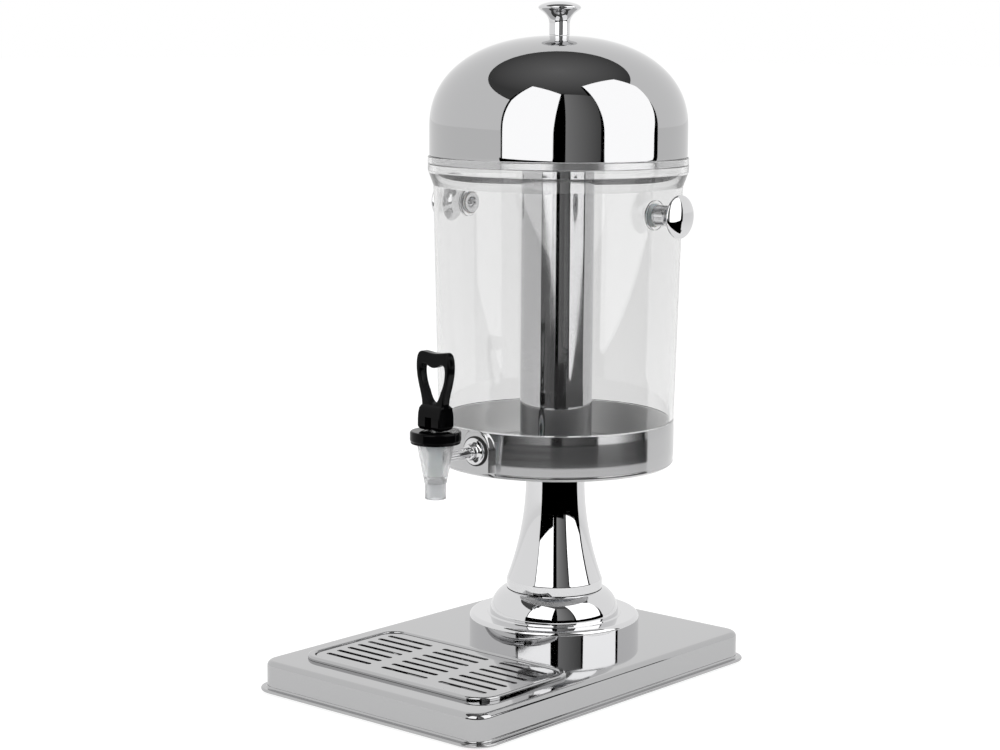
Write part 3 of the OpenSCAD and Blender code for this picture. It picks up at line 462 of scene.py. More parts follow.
def hazed(material, shader, scale, low, high):
    """Lets handling marks vary the roughness."""
    haze = placed_group(material, handling_haze, Scale=scale, Low=low, High=high)
    feed(shader, Roughness=haze.outputs["Roughness"])


def skinned(material, shader, scale, strength):
    """Gives a moulded surface its uneven skin."""
    skin = placed_group(material, moulded_skin, Scale=scale, Strength=strength)
    feed(shader, Normal=skin.outputs["Normal"])


def smear_upward(tree, shader):
    """Smears what the surface mirrors along the first direction of the piece's own UV map."""
    upward = node(tree, "ShaderNodeTangent", {"direction_type": "UV_MAP", "uv_map": "sheet"})
    feed(shader, Tangent=upward.outputs["Tangent"])


print("finish helpers ready")


# %% Steels
def make_metal(name, colour, film):
    """A metal whose roughness varies with a film, given as its scale, low and high value."""
    material, shader = finish(name, colour, Metallic=1.0)
    hazed(material, shader, *film)
    return material


def make_polished(name, tone, low, high):
    return make_metal(name, (tone, tone, tone * 1.01), (18.0, low, high))


def make_brushed(skin_from=0.0979, skin_to=0.0981):
    """Inside, a satin finish whose near-white, half-metallic tone is painted light on the cup's shaded
    inside; from the outer skin's radius on, a brushed polish.
    """
    painted_bright_inside, brushed = (0.95, 0.95, 0.95), (0.5, 0.5, 0.505)
    material, shader = finish("brushed_cup_steel", brushed, Metallic=1.0, Anisotropic=0.85)
    tree = material.node_tree
    grain = placed_group(material, turned_grain, Axis_Y=AXIS_Y * MM, Lines=2600.0, Length=5.0).outputs
    flat = vector_maths(tree, "MULTIPLY_ADD", object_place(tree), (1, 1, 0), (0, -AXIS_Y * MM, 0))
    outside = spread(tree, vector_maths(tree, "LENGTH", flat), 0.0, 1.0, skin_from, skin_to)
    # The first tone, near white, is painted light on the cup's shaded inside; the second is the brushed steel
    # outside.
    tones = {"i6": (*painted_bright_inside, 1), "i7": (*brushed, 1)}
    tone = node(tree, "ShaderNodeMix", {"data_type": "RGBA"}, i0=outside, **tones)
    uneven = spread(tree, grain["Streak"], -0.02, 0.03)
    feed(
        shader,
        Base_Color=tone.outputs[2],
        Metallic=spread(tree, outside, 0.45, 1.0),
        Roughness=maths(tree, "ADD", spread(tree, outside, 0.5, 0.13), uneven),
        Normal=bump_from(tree, grain["Height"], 0.04, 0.0001),
    )
    smear_upward(tree, shader)
    return material


def make_drawn(foot=0.23, full=0.32):
    """Drawn tube, whose finish smears what it mirrors along its length, and less so near its foot."""
    material, shader = finish("drawn_tube_steel", (0.6, 0.6, 0.605), Metallic=1.0, Anisotropic=0.85)
    tree = material.node_tree
    haze = placed_group(material, handling_haze, Scale=26.0, Low=0.06, High=0.11)
    rise = spread(tree, object_height(tree), 0.3, 1.0, foot, full)
    feed(shader, Roughness=maths(tree, "MULTIPLY", haze.outputs["Roughness"], rise))
    smear_upward(tree, shader)
    return material


polished_steel = make_polished("polished_steel", 0.7, 0.02, 0.045)
lid_steel = make_polished("lid_steel", 0.5, 0.02, 0.045)
pressed_steel = make_polished("pressed_steel", 0.48, 0.03, 0.07)
satin_steel = make_polished("satin_steel", 0.66, 0.24, 0.28)
brushed_steel = make_brushed()
drawn_steel = make_drawn()
zinc_steel = make_metal("zinc_plating", (0.5, 0.52, 0.55), (60.0, 0.28, 0.5))
print("steels made")


# %% Plastics and rubbers
def make_clear(cup_edge=0.21, above_cup=0.212):
    """Polycarbonate, tinted slightly grey above the cup; below the cup's edge it is made almost clear,
    painted light that brightens the cup seen through it.
    """
    grey, clear = 0.845, 0.99
    material, shader = finish("clear_polycarbonate", (grey, grey, grey), Transmission_Weight=1.0, IOR=1.5)
    hazed(material, shader, 9.0, 0.0, 0.02)
    tree = material.node_tree
    # The almost clear band below the cup's edge is painted light: it brightens the shaded cup seen through
    # the vessel.
    feed(shader, Base_Color=spread(tree, object_height(tree), clear, grey, cup_edge, above_cup))
    return material


def make_moulded(name, colour, film, skin, **sockets):
    """A moulded plastic or rubber, with a film (scale, low, high) and a skin (scale, strength)."""
    material, shader = finish(name, colour, **sockets)
    hazed(material, shader, *film)
    skinned(material, shader, *skin)
    return material


SOFT_SKIN = (420.0, 0.2)
clear_plastic = make_clear()
nozzle_plastic = make_moulded(
    "grey_clear_plastic", (0.82, 0.83, 0.84), (40.0, 0.16, 0.24), (220.0, 0.08),
    Transmission_Weight=0.7, IOR=1.45,
)
frosted_plastic = make_moulded(
    "frosted_grey_plastic", (0.9, 0.905, 0.91), (40.0, 0.06, 0.14), (240.0, 0.1),
    Transmission_Weight=0.78, IOR=1.45,
)
black_plastic = make_moulded(
    "gloss_black_plastic", (0.002, 0.002, 0.0023), (50.0, 0.06, 0.16), (180.0, 0.12),
    IOR=1.5, Specular_IOR_Level=0.1,
)
white_silicone = make_moulded(
    "milky_silicone", (0.8, 0.8, 0.78), (70.0, 0.35, 0.5), SOFT_SKIN, Subsurface_Weight=0.2
)
black_rubber = make_moulded("black_rubber", (0.012, 0.012, 0.012), (70.0, 0.5, 0.75), SOFT_SKIN)
print("finishes:", len(bpy.data.materials))


# %% Dressing a piece
def coat(piece, material, slot, *nodes):
    """Gives a piece its finish and lets it stand for CAD nodes."""
    piece.data.materials.clear()
    piece.data.materials.append(material)
    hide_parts(*nodes)
    print(piece.name, "faces:", len(piece.data.polygons))
    return piece


def dress(piece, material, body, slot, *nodes):
    """Coats a piece and makes it ride on a body."""
    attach(piece, body)
    return coat(piece, material, slot, *nodes)


def recoat(material, *nodes):
    """Keeps the CAD nodes that are right as they are, and changes only their finish."""
    for name in nodes:
        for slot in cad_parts[name].material_slots:
            slot.material = material


def fine_copy(name, source, angle=30):
    """A merged copy of a CAD node, with smooth shading on its round faces."""
    piece = add_object(name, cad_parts[source].data.copy())
    tidy(piece)
    return smooth(piece, angle)


print("dressing helpers ready")


# %% [markdown]
# ## The pressed base
# The base is one sheet, drawn down over a die: a flat top with an oblong cut-out for the tray, a rounded
# edge, upright walls and a folded flange. A section is swept round the four corners, and two flat fills
# close the sheet between its edge and the cut-out.

# %% Base cover
def make_base(sheet=1.0, edge=4.5, corner=15.0, flange=5.2, fold=2.6, fillet=1.4, lap=5.0):
    low, high = box_mm("base_cover")
    width, length = high.x - low.x - 2 * flange, high.y - low.y - 2 * flange
    top, foot = high.z, low.z
    start, hem = corner - edge - lap, fold * 0.49
    section = rounded([
        (start, top - sheet), (corner - sheet, top - sheet, edge - sheet), (corner - sheet, foot),
        (corner + flange, foot, hem), (corner + flange, foot + fold, hem), (corner, foot + fold, fillet),
        (corner, top, edge), (start, top),
    ], steps=8)
    points = []
    for reach, height in section:
        points += frame_ring(width, length, corner, reach, height)
    around = len(points) // len(section)
    faces = ring_faces(0, around, len(section))
    cut_low, cut_high = box_mm("drip_pan")
    inset, cut_corner = 4.6, 15.4
    cut_width, cut_length = cut_high.x - cut_low.x - 2 * inset, cut_high.y - cut_low.y - 2 * inset
    cut = (cut_width, cut_length, cut_corner, cut_corner)
    middle = (cut_low.y + cut_high.y) / 2
    rims = len(points)
    points += frame_ring(*cut, top - sheet, middle) + frame_ring(*cut, top, middle)
    faces += ring_faces(rims, around, 2)
    cover = new_piece("base_shell", points, faces)
    bm = bmesh.new()
    bm.from_mesh(cover.data)
    for level in (top - sheet, top):
        edges = [e for e in bm.edges if e.is_boundary]
        edges = [e for e in edges if all(abs(v.co.z - level * MM) < 1e-6 for v in e.verts)]
        bmesh.ops.triangle_fill(bm, use_beauty=True, edges=edges)
    bmesh.ops.recalc_face_normals(bm, faces=bm.faces)
    bm.to_mesh(cover.data)
    bm.free()
    return smooth(cover)


dress(make_base(), pressed_steel, "base", "polished_steel", "base_cover")
recoat(zinc_steel, "foot_rails", "base_stiffener", "column_head", "tie_rod", "tie_washer", "tie_nut")
recoat(black_rubber, "seat_pad")


# %% [markdown]
# ## Pieces that repeat
# Rubber feet, screws and slots repeat, so Geometry Nodes place them. A tree gets named inputs for its
# sizes and ends by making the copies real and giving them their material. The result becomes a plain mesh.

# %% Geometry Nodes helpers
KINDS = {float: "NodeSocketFloat", int: "NodeSocketInt", bpy.types.Material: "NodeSocketMaterial"}


def geometry_tree(name, inputs):
    """A Geometry Nodes tree with named inputs, in millimetres where they are lengths."""
    tree = bpy.data.node_groups.new(name, "GeometryNodeTree")
    tree.interface.new_socket("Geometry", in_out="INPUT", socket_type="NodeSocketGeometry")
    tree.interface.new_socket("Geometry", in_out="OUTPUT", socket_type="NodeSocketGeometry")
    for label, value in inputs.items():
        tree.interface.new_socket(label, in_out="INPUT", socket_type=KINDS[type(value)])
    return tree, tree.nodes.new("NodeGroupInput").outputs, tree.nodes.new("NodeGroupOutput").inputs


def run_tree(piece, tree, inputs):
    """Runs a tree on a piece and keeps the result as its plain mesh."""
    step = piece.modifiers.new(tree.name, "NODES")
    step.node_group = tree
    sockets = {item.name: item.identifier for item in tree.interface.items_tree if item.in_out == "INPUT"}
    for label, value in inputs.items():
        step[sockets[label]] = value
    settle(piece)
    tidy(piece)
    return piece


def copies_at(tree, points, shape, **more):
    """One copy of a shape at each point."""
    return node(tree, "GeometryNodeInstanceOnPoints", Points=points, Instance=shape, **more).outputs[0]


def closing(tree, out, geometry, material):
    """Ends a tree: copies become real, and the material is set."""
    real = node(tree, "GeometryNodeRealizeInstances", Geometry=geometry)
    painted = node(tree, "GeometryNodeSetMaterial", Geometry=real.outputs[0], Material=material)
    tree.links.new(painted.outputs[0], out["Geometry"])


print("geometry helpers ready")


# %% Rubber feet
def make_feet(rail_half=8):
    low, high = box_mm("rubber_feet")
    radius = box_mm("foot_rails")[0].x + rail_half - low.x
    grip, hollow = high.z - low.z, radius * 0.55
    outline = rounded([
        (0, 0), (2.4, 0), (2.8, 0.5, 0.3), (hollow, 0.5, 0.3), (hollow + 0.5, 0, 0.2), (radius - 0.4, 0, 0.7),
        (radius, 5, 0.8), (3, 5), (3, 6.4), (4, 6.4, 0.3), (2.4, grip, 0.3), (0, grip),
    ], steps=4)
    foot = lathe("rubber_feet_set", outline, Matrix.Identity(4), steps=48)
    inputs = {
        "Width": (high.x - low.x - 2 * radius) * MM, "Length": (high.y - low.y - 2 * radius) * MM,
        "Material": black_rubber,
    }
    tree, given, out = geometry_tree("feet_at_the_corners", inputs)
    corners = node(
        tree, "GeometryNodeMeshGrid", Size_X=given["Width"], Size_Y=given["Length"], Vertices_X=2,
        Vertices_Y=2,
    ).outputs["Mesh"]
    closing(tree, out, copies_at(tree, corners, given["Geometry"]), given["Material"])
    return smooth(run_tree(foot, tree, inputs))


dress(make_feet(), black_rubber, "base", "black_rubber", "rubber_feet")


# %% [markdown]
# ## The pedestal
# Foot and column are spun from sheet. The foot is a flat disc with a low step that swells into a bell, and
# the column stands on it, wide at the bottom and slim at the neck. Mirror steel shows every dent in a
# curve, so the outlines are formulas sampled finely and not a handful of points.

# %% Pedestal foot
def make_foot(sheet=1.2):
    low, high = box_mm("pedestal_foot")
    disc, bottom, top = radius_mm("pedestal_foot"), low.z, high.z
    disc_top, step, step_rise = bottom + 17.5, 56.4, 1.2
    bell, centre, fullness, rim = 54.3, 37.0, 1.85, 40.3

    def swell(inset):
        share = (rim - centre) / (bell - centre)
        rise = top - disc_top - step_rise - inset
        curve = []
        for i in range(41):
            across = 1 - (1 - share) * (i / 40) ** 1.6
            height = disc_top + step_rise + rise * full_curve(across, fullness)
            curve.append((centre + (bell - centre - inset) * across, height))
        return curve

    rod_hole = 7
    section = rounded([
        (disc, bottom), (disc, disc_top, 3.5), (step + 0.4, disc_top, 0.3),
        (step - 0.2, disc_top + step_rise, 0.5), *swell(0), (rod_hole, top), (rod_hole, top - sheet),
        *swell(sheet)[::-1], (step - sheet, disc_top - sheet), (disc - sheet, disc_top - sheet, 2.3),
        (disc - sheet, bottom),
    ], steps=10)
    return smooth(lathe("pedestal_bell", section, steps=192), 26)


dress(make_foot(), polished_steel, "base", "polished_steel", "pedestal_foot")


# %% Column
def make_column(sheet=1.2, hem=7.0, sweep=86.0, neck=24.7, foot=40.3, steps=72):
    """A straight hem at the foot, then a parabola that runs out into the straight neck."""
    low, high = box_mm("column")
    outside = [(foot, low.z)]
    for i in range(steps + 1):
        share = i / steps
        outside.append((neck + (foot - neck) * (1 - share) ** 2, low.z + hem + sweep * share))
    outside.append((neck, high.z))
    inside = [(radius - sheet, height) for radius, height in reversed(outside)]
    return smooth(lathe("column_spun", rounded(outside + inside), steps=160))


dress(make_column(), polished_steel, "base", "polished_steel", "column")


# %% [markdown]
# ## The drip tray and its grid
# The tray is drawn from thin sheet: a raised, rolled rim that rests on the base, a ledge for the grid and a
# well under it. The grid is a plate with its edge turned down, and its slots are punched by Geometry Nodes,
# which copy one cutter over a grid of points and subtract the copies in one go.

# %% Sheet with a closed floor
FLOOR_REACH = 3.0


def swept_sheet(name, node_name, corner, section):
    """Sweeps a closed section round a CAD node's box, and closes its floor where the section ends."""
    low, high = box_mm(node_name)
    width, length, middle = high.x - low.x, high.y - low.y, (low.y + high.y) / 2
    points = []
    for reach, height in section:
        points += frame_ring(width, length, corner, reach, height, middle)
    around = len(points) // len(section)
    floor = [i for i, (reach, height) in enumerate(section) if abs(reach - FLOOR_REACH) < 1e-6]
    faces = ring_faces(0, around, len(section), closed=True)
    faces = [f for f in faces if {f[0] // around, f[2] // around} != set(floor)]
    faces += [tuple(level * around + i for i in range(around)) for level in floor]
    return new_piece(name, points, faces)


print("tray and grid share one sweep")


# %% Drip tray
def make_tray(corner=20.0, sheet=1.0, rim=6.0, ledge_width=2.5, ledge_depth=3.8, over_base=0.2):
    low, high = box_mm("drip_pan")
    top, rest, floor = high.z, box_mm("base_cover")[1].z + over_base, low.z + sheet
    groove = corner - rim
    wall, ledge = groove - ledge_width, top - ledge_depth
    section = rounded([
        (corner, rest), (corner, top, 1.9), (groove, top, 1.4), (groove, ledge, 0.4), (wall, ledge, 0.8),
        (wall - 1, floor, 4), (FLOOR_REACH, floor), (FLOOR_REACH, floor - sheet),
        (wall - 1 + sheet, floor - sheet, 5), (wall + sheet, ledge - sheet, 0.4),
        (groove + sheet, ledge - sheet, 0.5), (groove + sheet, top - sheet, 0.5),
        (corner - sheet, top - sheet, 0.9), (corner - sheet, rest),
    ], steps=6)
    return smooth(swept_sheet("drip_tray", "drip_pan", corner, section))


dress(make_tray(), pressed_steel, "drip_pan", "polished_steel", "drip_pan")


# %% Grid plate with punched slots
def make_plate(corner=13.6, sheet=1.0):
    low, high = box_mm("drip_grid")
    under = high.z - sheet
    section = rounded([
        (corner, low.z), (corner, high.z, 1.3), (FLOOR_REACH, high.z), (FLOOR_REACH, under),
        (corner - sheet, under, 0.4), (corner - sheet, low.z),
    ], steps=6)
    return swept_sheet("slotted_grid", "drip_grid", corner, section)


def make_slot_tree(inputs):
    tree, given, out = geometry_tree("punched_slots", inputs)

    def reach(count, pitch):
        return maths(tree, "MULTIPLY", maths(tree, "SUBTRACT", given[count], 1.0), given[pitch])

    spots = node(
        tree, "GeometryNodeMeshGrid", Size_X=reach("Columns", "Column pitch"),
        Size_Y=reach("Rows", "Row pitch"), Vertices_X=given["Columns"], Vertices_Y=given["Rows"],
    )
    shift = vector(tree, Y=given["Middle"], Z=given["Bottom"])
    placed = node(tree, "GeometryNodeTransform", Geometry=spots.outputs["Mesh"], Translation=shift)
    outline = node(
        tree, "GeometryNodeCurvePrimitiveQuadrilateral", Width=given["Slot length"],
        Height=given["Slot width"],
    )
    round_end = maths(tree, "MULTIPLY", given["Slot width"], 0.499)
    capsule = node(
        tree, "GeometryNodeFilletCurve", {"mode": "POLY"}, Curve=outline.outputs[0], Count=8, Radius=round_end
    )
    face = node(tree, "GeometryNodeFillCurve", {"mode": "NGONS"}, Curve=capsule.outputs[0]).outputs[0]
    up = vector(tree, Z=given["Depth"])
    cutter = node(tree, "GeometryNodeExtrudeMesh", Mesh=face, Offset=up, Individual=False)
    under = node(tree, "GeometryNodeFlipFaces", Mesh=face)
    both = node(tree, "GeometryNodeJoinGeometry")
    tree.links.new(cutter.outputs["Mesh"], both.inputs[0])
    tree.links.new(under.outputs[0], both.inputs[0])
    closed = node(tree, "GeometryNodeMergeByDistance", Geometry=both.outputs[0], Distance=1e-6)
    cutters = copies_at(tree, placed.outputs[0], closed.outputs[0])
    real = node(tree, "GeometryNodeRealizeInstances", Geometry=cutters)
    punched = node(tree, "GeometryNodeMeshBoolean", {"operation": "DIFFERENCE", "solver": "EXACT"})
    tree.links.new(given["Geometry"], punched.inputs["Mesh 1"])
    tree.links.new(real.outputs[0], punched.inputs["Mesh 2"])
    closing(tree, out, punched.outputs["Mesh"], given["Material"])
    return tree


def make_grid(border=7.6, bridge=12.5, row_pitch=12.0, slot=4.5, columns=3, rows=7, cut_depth=3):
    low, high = box_mm("drip_grid")
    column_pitch = (high.x - low.x - 2 * border + bridge) / columns
    inputs = {
        "Columns": columns, "Rows": rows, "Column pitch": column_pitch * MM, "Row pitch": row_pitch * MM,
        "Slot length": (column_pitch - bridge) * MM, "Slot width": slot * MM,
        "Middle": (low.y + high.y) / 2 * MM, "Bottom": (high.z - 2) * MM, "Depth": cut_depth * MM,
        "Material": pressed_steel,
    }
    return smooth(run_tree(make_plate(), make_slot_tree(inputs), inputs))


dress(make_grid(), pressed_steel, "drip_grid", "polished_steel", "drip_grid")


# %% [markdown]
# ## The steel cup
# The cup is a drawn sheet with a well in its floor and a pad pushed out at the front, where the tap sits.
# The pad has an arched top that stands over the rim. A plain boolean pad would have hard edges, so the
# wall is a fine grid of points, and each point moves smoothly from the wall to the pad's flat face.

# %% Cup
CUP_WALL, STUD_HOLE = 36.7, 4.3


def make_cup(sheet=0.8, curl=3.6, well=45.8, well_top=178.3, columns=288, wall_rows=40):
    low, high = box_mm("cup")
    radius, bottom, face_y = radius_mm("cup"), low.z, low.y
    top, curl_end = bottom + CUP_WALL, bottom + curl
    face_half, root_half, arch_z = 13.6, 17.5, SHANK_Z + 2
    arch_radius = high.z - arch_z - 0.6
    floor = rounded([
        (STUD_HOLE, well_top), (well, well_top, 1.4), (well, bottom, 1.4), (radius, bottom, curl),
        (radius, top),
    ], 8)
    # The wall's own rows take over where the curl ends.
    floor = [p for p in floor if p.y < curl_end - 0.01 or p.x < 2 * well][:-1]

    def angle_of(share, crowding=0.72):
        """Columns crowd together near the pad."""
        return math.tau * (share - math.sin(math.tau * share) / math.tau * crowding)

    def wall_radius(height):
        """The wall rolls in a little under its rim and over its curl, so its middle stands proud."""
        above, below = max(0, height - top + 8), max(0, bottom + 12.5 - height)
        return radius - 0.05 * max(0, above - 1) - 0.07 * max(0, below - 1)

    def pad_push(x, height, pad_foot=0.6, pad_fade=3.4):
        """How far a point of the wall's front moves out to the pad's face, as a share."""
        off = math.hypot(x, height - arch_z) if height > arch_z else abs(x)
        share = min(1, max(0, (off - face_half) / (root_half - face_half)))
        push = 1 - share * share * (3 - 2 * share)
        return push * min(1, max(0, (height - bottom - pad_foot) / pad_fade))

    points = []
    for c in range(columns):
        angle = angle_of(c / columns)
        outward = Vector((math.sin(angle), -math.cos(angle)))
        across, front, rim = radius * outward.x, outward.y < 0, top
        if front and abs(across) < arch_radius:
            rim = max(top, arch_z + math.sqrt(arch_radius ** 2 - across ** 2))
        rows = [Vector((p.x, p.y)) for p in floor]
        for r in range(wall_rows + 1):
            height = curl_end + (rim - curl_end) * r / wall_rows
            rows.append(Vector((wall_radius(height), height)))
        for reach, height in rows:
            x, y = reach * outward.x, AXIS_Y + reach * outward.y
            if front and reach > radius - 3:
                y = y + (face_y - y) * pad_push(x, height)
            points.append((x, y, height))
    count = len(points) // columns
    faces = []
    for c in range(columns):
        here, after = c * count, (c + 1) % columns * count
        faces += [(here + i, after + i, after + i + 1, here + i + 1) for i in range(count - 1)]
    cup = new_piece("steel_cup", points, faces)
    facing_out(cup, Vector((0, AXIS_Y, bottom + 20)) * MM)
    map_upward(cup)
    return thickened(cup, sheet, even=True)


dress(make_cup(), brushed_steel, "juice_unit", "brushed_steel", "cup")
recoat(white_silicone, "floor_gasket")


# %% [markdown]
# ## The clear vessel
# The vessel is moulded with a little draft, a shoulder that swells out to a wide rim, round bosses for the
# side knobs and a flat land for the tap. It is the piece that shows its thickness most, so its wall is a
# true double surface: light enters through one skin and leaves through the other. Inside, the shoulder
# slopes less than outside, so it bends the view like a prism and draws dark streaks under the lid.

# %% Vessel
VESSEL_WALL, KNOB_HEAD = 2.8, 17.4


def vessel_section(skirt=97.4, low_radius=98.3, high_radius=102.9, inner_slope=0.45):
    """The outline of the vessel's wall and floor."""
    rim, top, foot = radius_mm("vessel"), vessel_high.z, vessel_low.z
    under, floor = 179.9, 182.9
    cup_top = box_mm("cup")[0].z + CUP_WALL
    shoulder_top, shoulder_foot, ledge = top - 12.2, top - 24.2, top - 6.4
    inner_low = high_radius - VESSEL_WALL
    inner_high = inner_low + (rim - high_radius) * inner_slope
    return rounded([
        (skirt - 3, foot), (skirt, foot, 2.4), (skirt, cup_top + 0.2, 0.6), (low_radius, cup_top + 0.9, 0.6),
        (high_radius, shoulder_foot, 3.0), (rim, shoulder_top, 4.0), (rim, top, 1.2),
        (rim - VESSEL_WALL, top, 0.8), (rim - VESSEL_WALL, ledge, 0.4), (inner_high, ledge, 0.8),
        (inner_high, shoulder_top), (inner_low, shoulder_foot, 2.0), (skirt - VESSEL_WALL, floor, 3),
        (STUD_HOLE, floor), (STUD_HOLE, under), (skirt - 3, under, 0.8),
    ], steps=8)


def make_vessel(wall_at=102.47, boss=12, screw_hole=2.8, land=14, land_y=-33.0, shank_hole=6.3):
    vessel = lathe("juice_vessel", vessel_section(), steps=192)
    inner_face, outer_face = wall_at - VESSEL_WALL - 1.5, wall_at + 0.4
    knob_z = box_mm("handle_left")[0].z + KNOB_HEAD
    land_depth, before, hole_depth = 2.8, 2, 12
    for side in (-1, 1):
        spot = Matrix.Translation((side * inner_face, AXIS_Y, knob_z)) @ sideways(side)
        add_boss(vessel, boss, outer_face - inner_face, spot, 0.5, 0.25)
        start = Matrix.Translation((side * (inner_face - before), AXIS_Y, knob_z)) @ sideways(side)
        drill(vessel, screw_hole, hole_depth, start, 32)
    add_boss(vessel, land, land_depth, Matrix.Translation((0, land_y, SHANK_Z)) @ FORWARD, 0.6)
    drill(vessel, shank_hole, hole_depth, Matrix.Translation((0, land_y + before, SHANK_Z)) @ FORWARD)
    return smooth(vessel)


clear_vessel = dress(make_vessel(), clear_plastic, "juice_unit", "clear_plastic", "vessel")
clear_vessel.visible_shadow = False


# %% [markdown]
# ## Knobs and their fittings
# One knob shape is used three times. Its stem flares into a crowned head, and its flank is two cubic
# curves. Inside the vessel a silicone seal, a steel washer and a screw with a cross recess hold it.

# %% Knobs
def knob_outline(length=27.4, head=KNOB_HEAD, stem=8.4, crown=4.8):
    rim = length - crown
    flare = (head - 3.4, rim * 0.84)
    flank = cubic((stem, rim * 0.42), (stem + 0.1, rim * 0.62), (stem + 2.4, rim * 0.74), flare, 20)
    lip = cubic(flare, (head - 1.4, rim * 0.9), (head, rim * 0.94), (head, rim), 12)
    top = []
    for i in range(31):
        angle = math.pi / 2 * i / 30
        top.append(Vector((head * math.cos(angle), rim + crown * math.sin(angle) ** 1.15)))
    return rounded([(0, 0), (stem, 0, 0.35), (stem, 0.5)], 3) + flank + lip + top


def make_knob(name, place):
    return smooth(lathe(name, knob_outline(), place, 128))


for side, end in ((-1, "left"), (1, "right")):
    low, high = box_mm("handle_" + end)
    start = (high.x if side < 0 else low.x, AXIS_Y, (low.z + high.z) / 2)
    knob = make_knob("knob_" + end, Matrix.Translation(start) @ sideways(side))
    dress(knob, polished_steel, "juice_unit", "polished_steel", "handle_" + end)
lid_knob_place = Matrix.Translation((0, AXIS_Y, box_mm("lid_knob")[0].z))
dress(make_knob("knob_lid", lid_knob_place), polished_steel, "lid", "polished_steel", "lid_knob")
recoat(white_silicone, "handle_seals")
recoat(polished_steel, "handle_washers", "lid_knob_washer")


# %% Screws with a cross recess
SCREW_RADIUS, SCREW_HEAD = 2.5, 3.1


def screw_outline(length, radius=SCREW_RADIUS):
    return rounded([
        (0, -SCREW_HEAD), (radius * 1.1, -2.9, 1.5), (radius * 2, -1.2, 0.8), (radius * 2, 0, 0.15),
        (radius, 0), (radius, length - 0.6), (radius - 0.6, length), (0, length),
    ], 6)


def cross_recess(screw, arm=1.6, thickness=0.9, depth=1.9):
    size = Matrix.Diagonal((2 * arm * MM, thickness * MM, depth * 2 * MM, 1))
    head_top = Matrix.Translation((0, 0, -SCREW_HEAD * MM))
    for turn in (0, math.pi / 2):
        bm = bmesh.new()
        bmesh.ops.create_cube(bm, size=1)
        bmesh.ops.transform(bm, verts=bm.verts, matrix=head_top @ Matrix.Rotation(turn, 4, "Z") @ size)
        mesh = bpy.data.meshes.new("cross")
        bm.to_mesh(mesh)
        bm.free()
        combine(screw, add_object("cross", mesh), "DIFFERENCE")
    return screw


def make_screw(name, length):
    """A screw that points upwards, with its head under the origin."""
    return cross_recess(lathe(name, screw_outline(length), Matrix.Identity(4), 48))


def make_side_screws(length=21.0):
    low, high = box_mm("handle_screws")
    head = (high.x - low.x) / 2 - length
    inputs = {
        "Apart": 2 * head * MM, "Axis": AXIS_Y * MM, "Height": (low.z + high.z) / 2 * MM,
        "Material": polished_steel,
    }
    tree, given, out = geometry_tree("screws_facing_inwards", inputs)
    left = maths(tree, "MULTIPLY", given["Apart"], -0.5)
    start = vector(tree, X=left, Y=given["Axis"], Z=given["Height"])
    apart = vector(tree, X=given["Apart"])
    line = node(tree, "GeometryNodeMeshLine", {"mode": "OFFSET"}, Count=2, Start_Location=start, Offset=apart)
    index = node(tree, "GeometryNodeInputIndex").outputs[0]
    tilt = maths(tree, "MULTIPLY", maths(tree, "SUBTRACT", index, 0.5), math.pi)
    screws = copies_at(tree, line.outputs[0], given["Geometry"], Rotation=vector(tree, Y=tilt))
    closing(tree, out, screws, given["Material"])
    return smooth(run_tree(make_screw("side_screws", length), tree, inputs))


dress(make_side_screws(), polished_steel, "juice_unit", "polished_steel", "handle_screws")
lid_screw_head, lid_screw_thread = 3.0, 16.1
lid_screw = make_screw("lid_screw", lid_screw_thread)
lid_screw_foot = Vector((0, AXIS_Y, box_mm("lid_knob_screw")[0].z + lid_screw_head))
lid_screw.data.transform(Matrix.Translation(lid_screw_foot * MM))
dress(smooth(lid_screw), polished_steel, "lid", "polished_steel", "lid_knob_screw")


# %% [markdown]
# ## The ice tube
# A closed steel tube down the middle of the vessel holds the ice. It has a drawn finish and a rounded
# closed end, and its rolled rim carries a soft push-in cap.

# %% Ice tube and cap
def make_ice_tube(radius=30.1, wall=1.0, bottom_sheet=1.5, roll=2.4, roll_out=1.4):
    low, high = box_mm("ice_tube")
    bottom, top, inside = low.z, high.z, low.z + bottom_sheet
    section = rounded([
        (0, bottom), (radius, bottom, 2.4), (radius, top - roll, 0.2), (radius + roll_out, top - roll, 1.1),
        (radius + roll_out, top, 1.1), (radius - wall, top, 0.4), (radius - wall, inside, 1.5), (0, inside),
    ], steps=8)
    tube = lathe("ice_tube_drawn", section, steps=160)
    map_upward(tube)
    return smooth(tube)


def make_ice_cap():
    low, high = box_mm("ice_cap")
    brim, plug, rest = radius_mm("ice_cap"), 28.8, low.z + 10
    neck, grip = 6.0, 9.0
    section = rounded([
        (0, low.z), (plug, low.z, 1.4), (plug, rest), (brim, rest, 0.4), (brim, rest + 2.3, 0.8),
        (neck, rest + 2.4, 1.2), (neck, rest + 6, 1.5), (grip, rest + 10, 1.5), (grip - 0.4, high.z, 1.5),
        (0, high.z),
    ], steps=5)
    return smooth(lathe("ice_tube_cap", section, steps=96))


dress(make_ice_tube(), drawn_steel, "juice_unit", "polished_steel", "ice_tube")
dress(make_ice_cap(), white_silicone, "ice_cap", "white_silicone", "ice_cap")
recoat(white_silicone, "ice_tube_seal")
recoat(zinc_steel, "ice_tube_stud", "ice_tube_washer", "ice_tube_nut")


# %% [markdown]
# ## The lid
# The dome follows one rule: a straight skirt, then a full curve that is a little squarer than an ellipse.
# Geometry Nodes bend a flat grid into that shape, so its radius, rise and fullness stay named inputs.

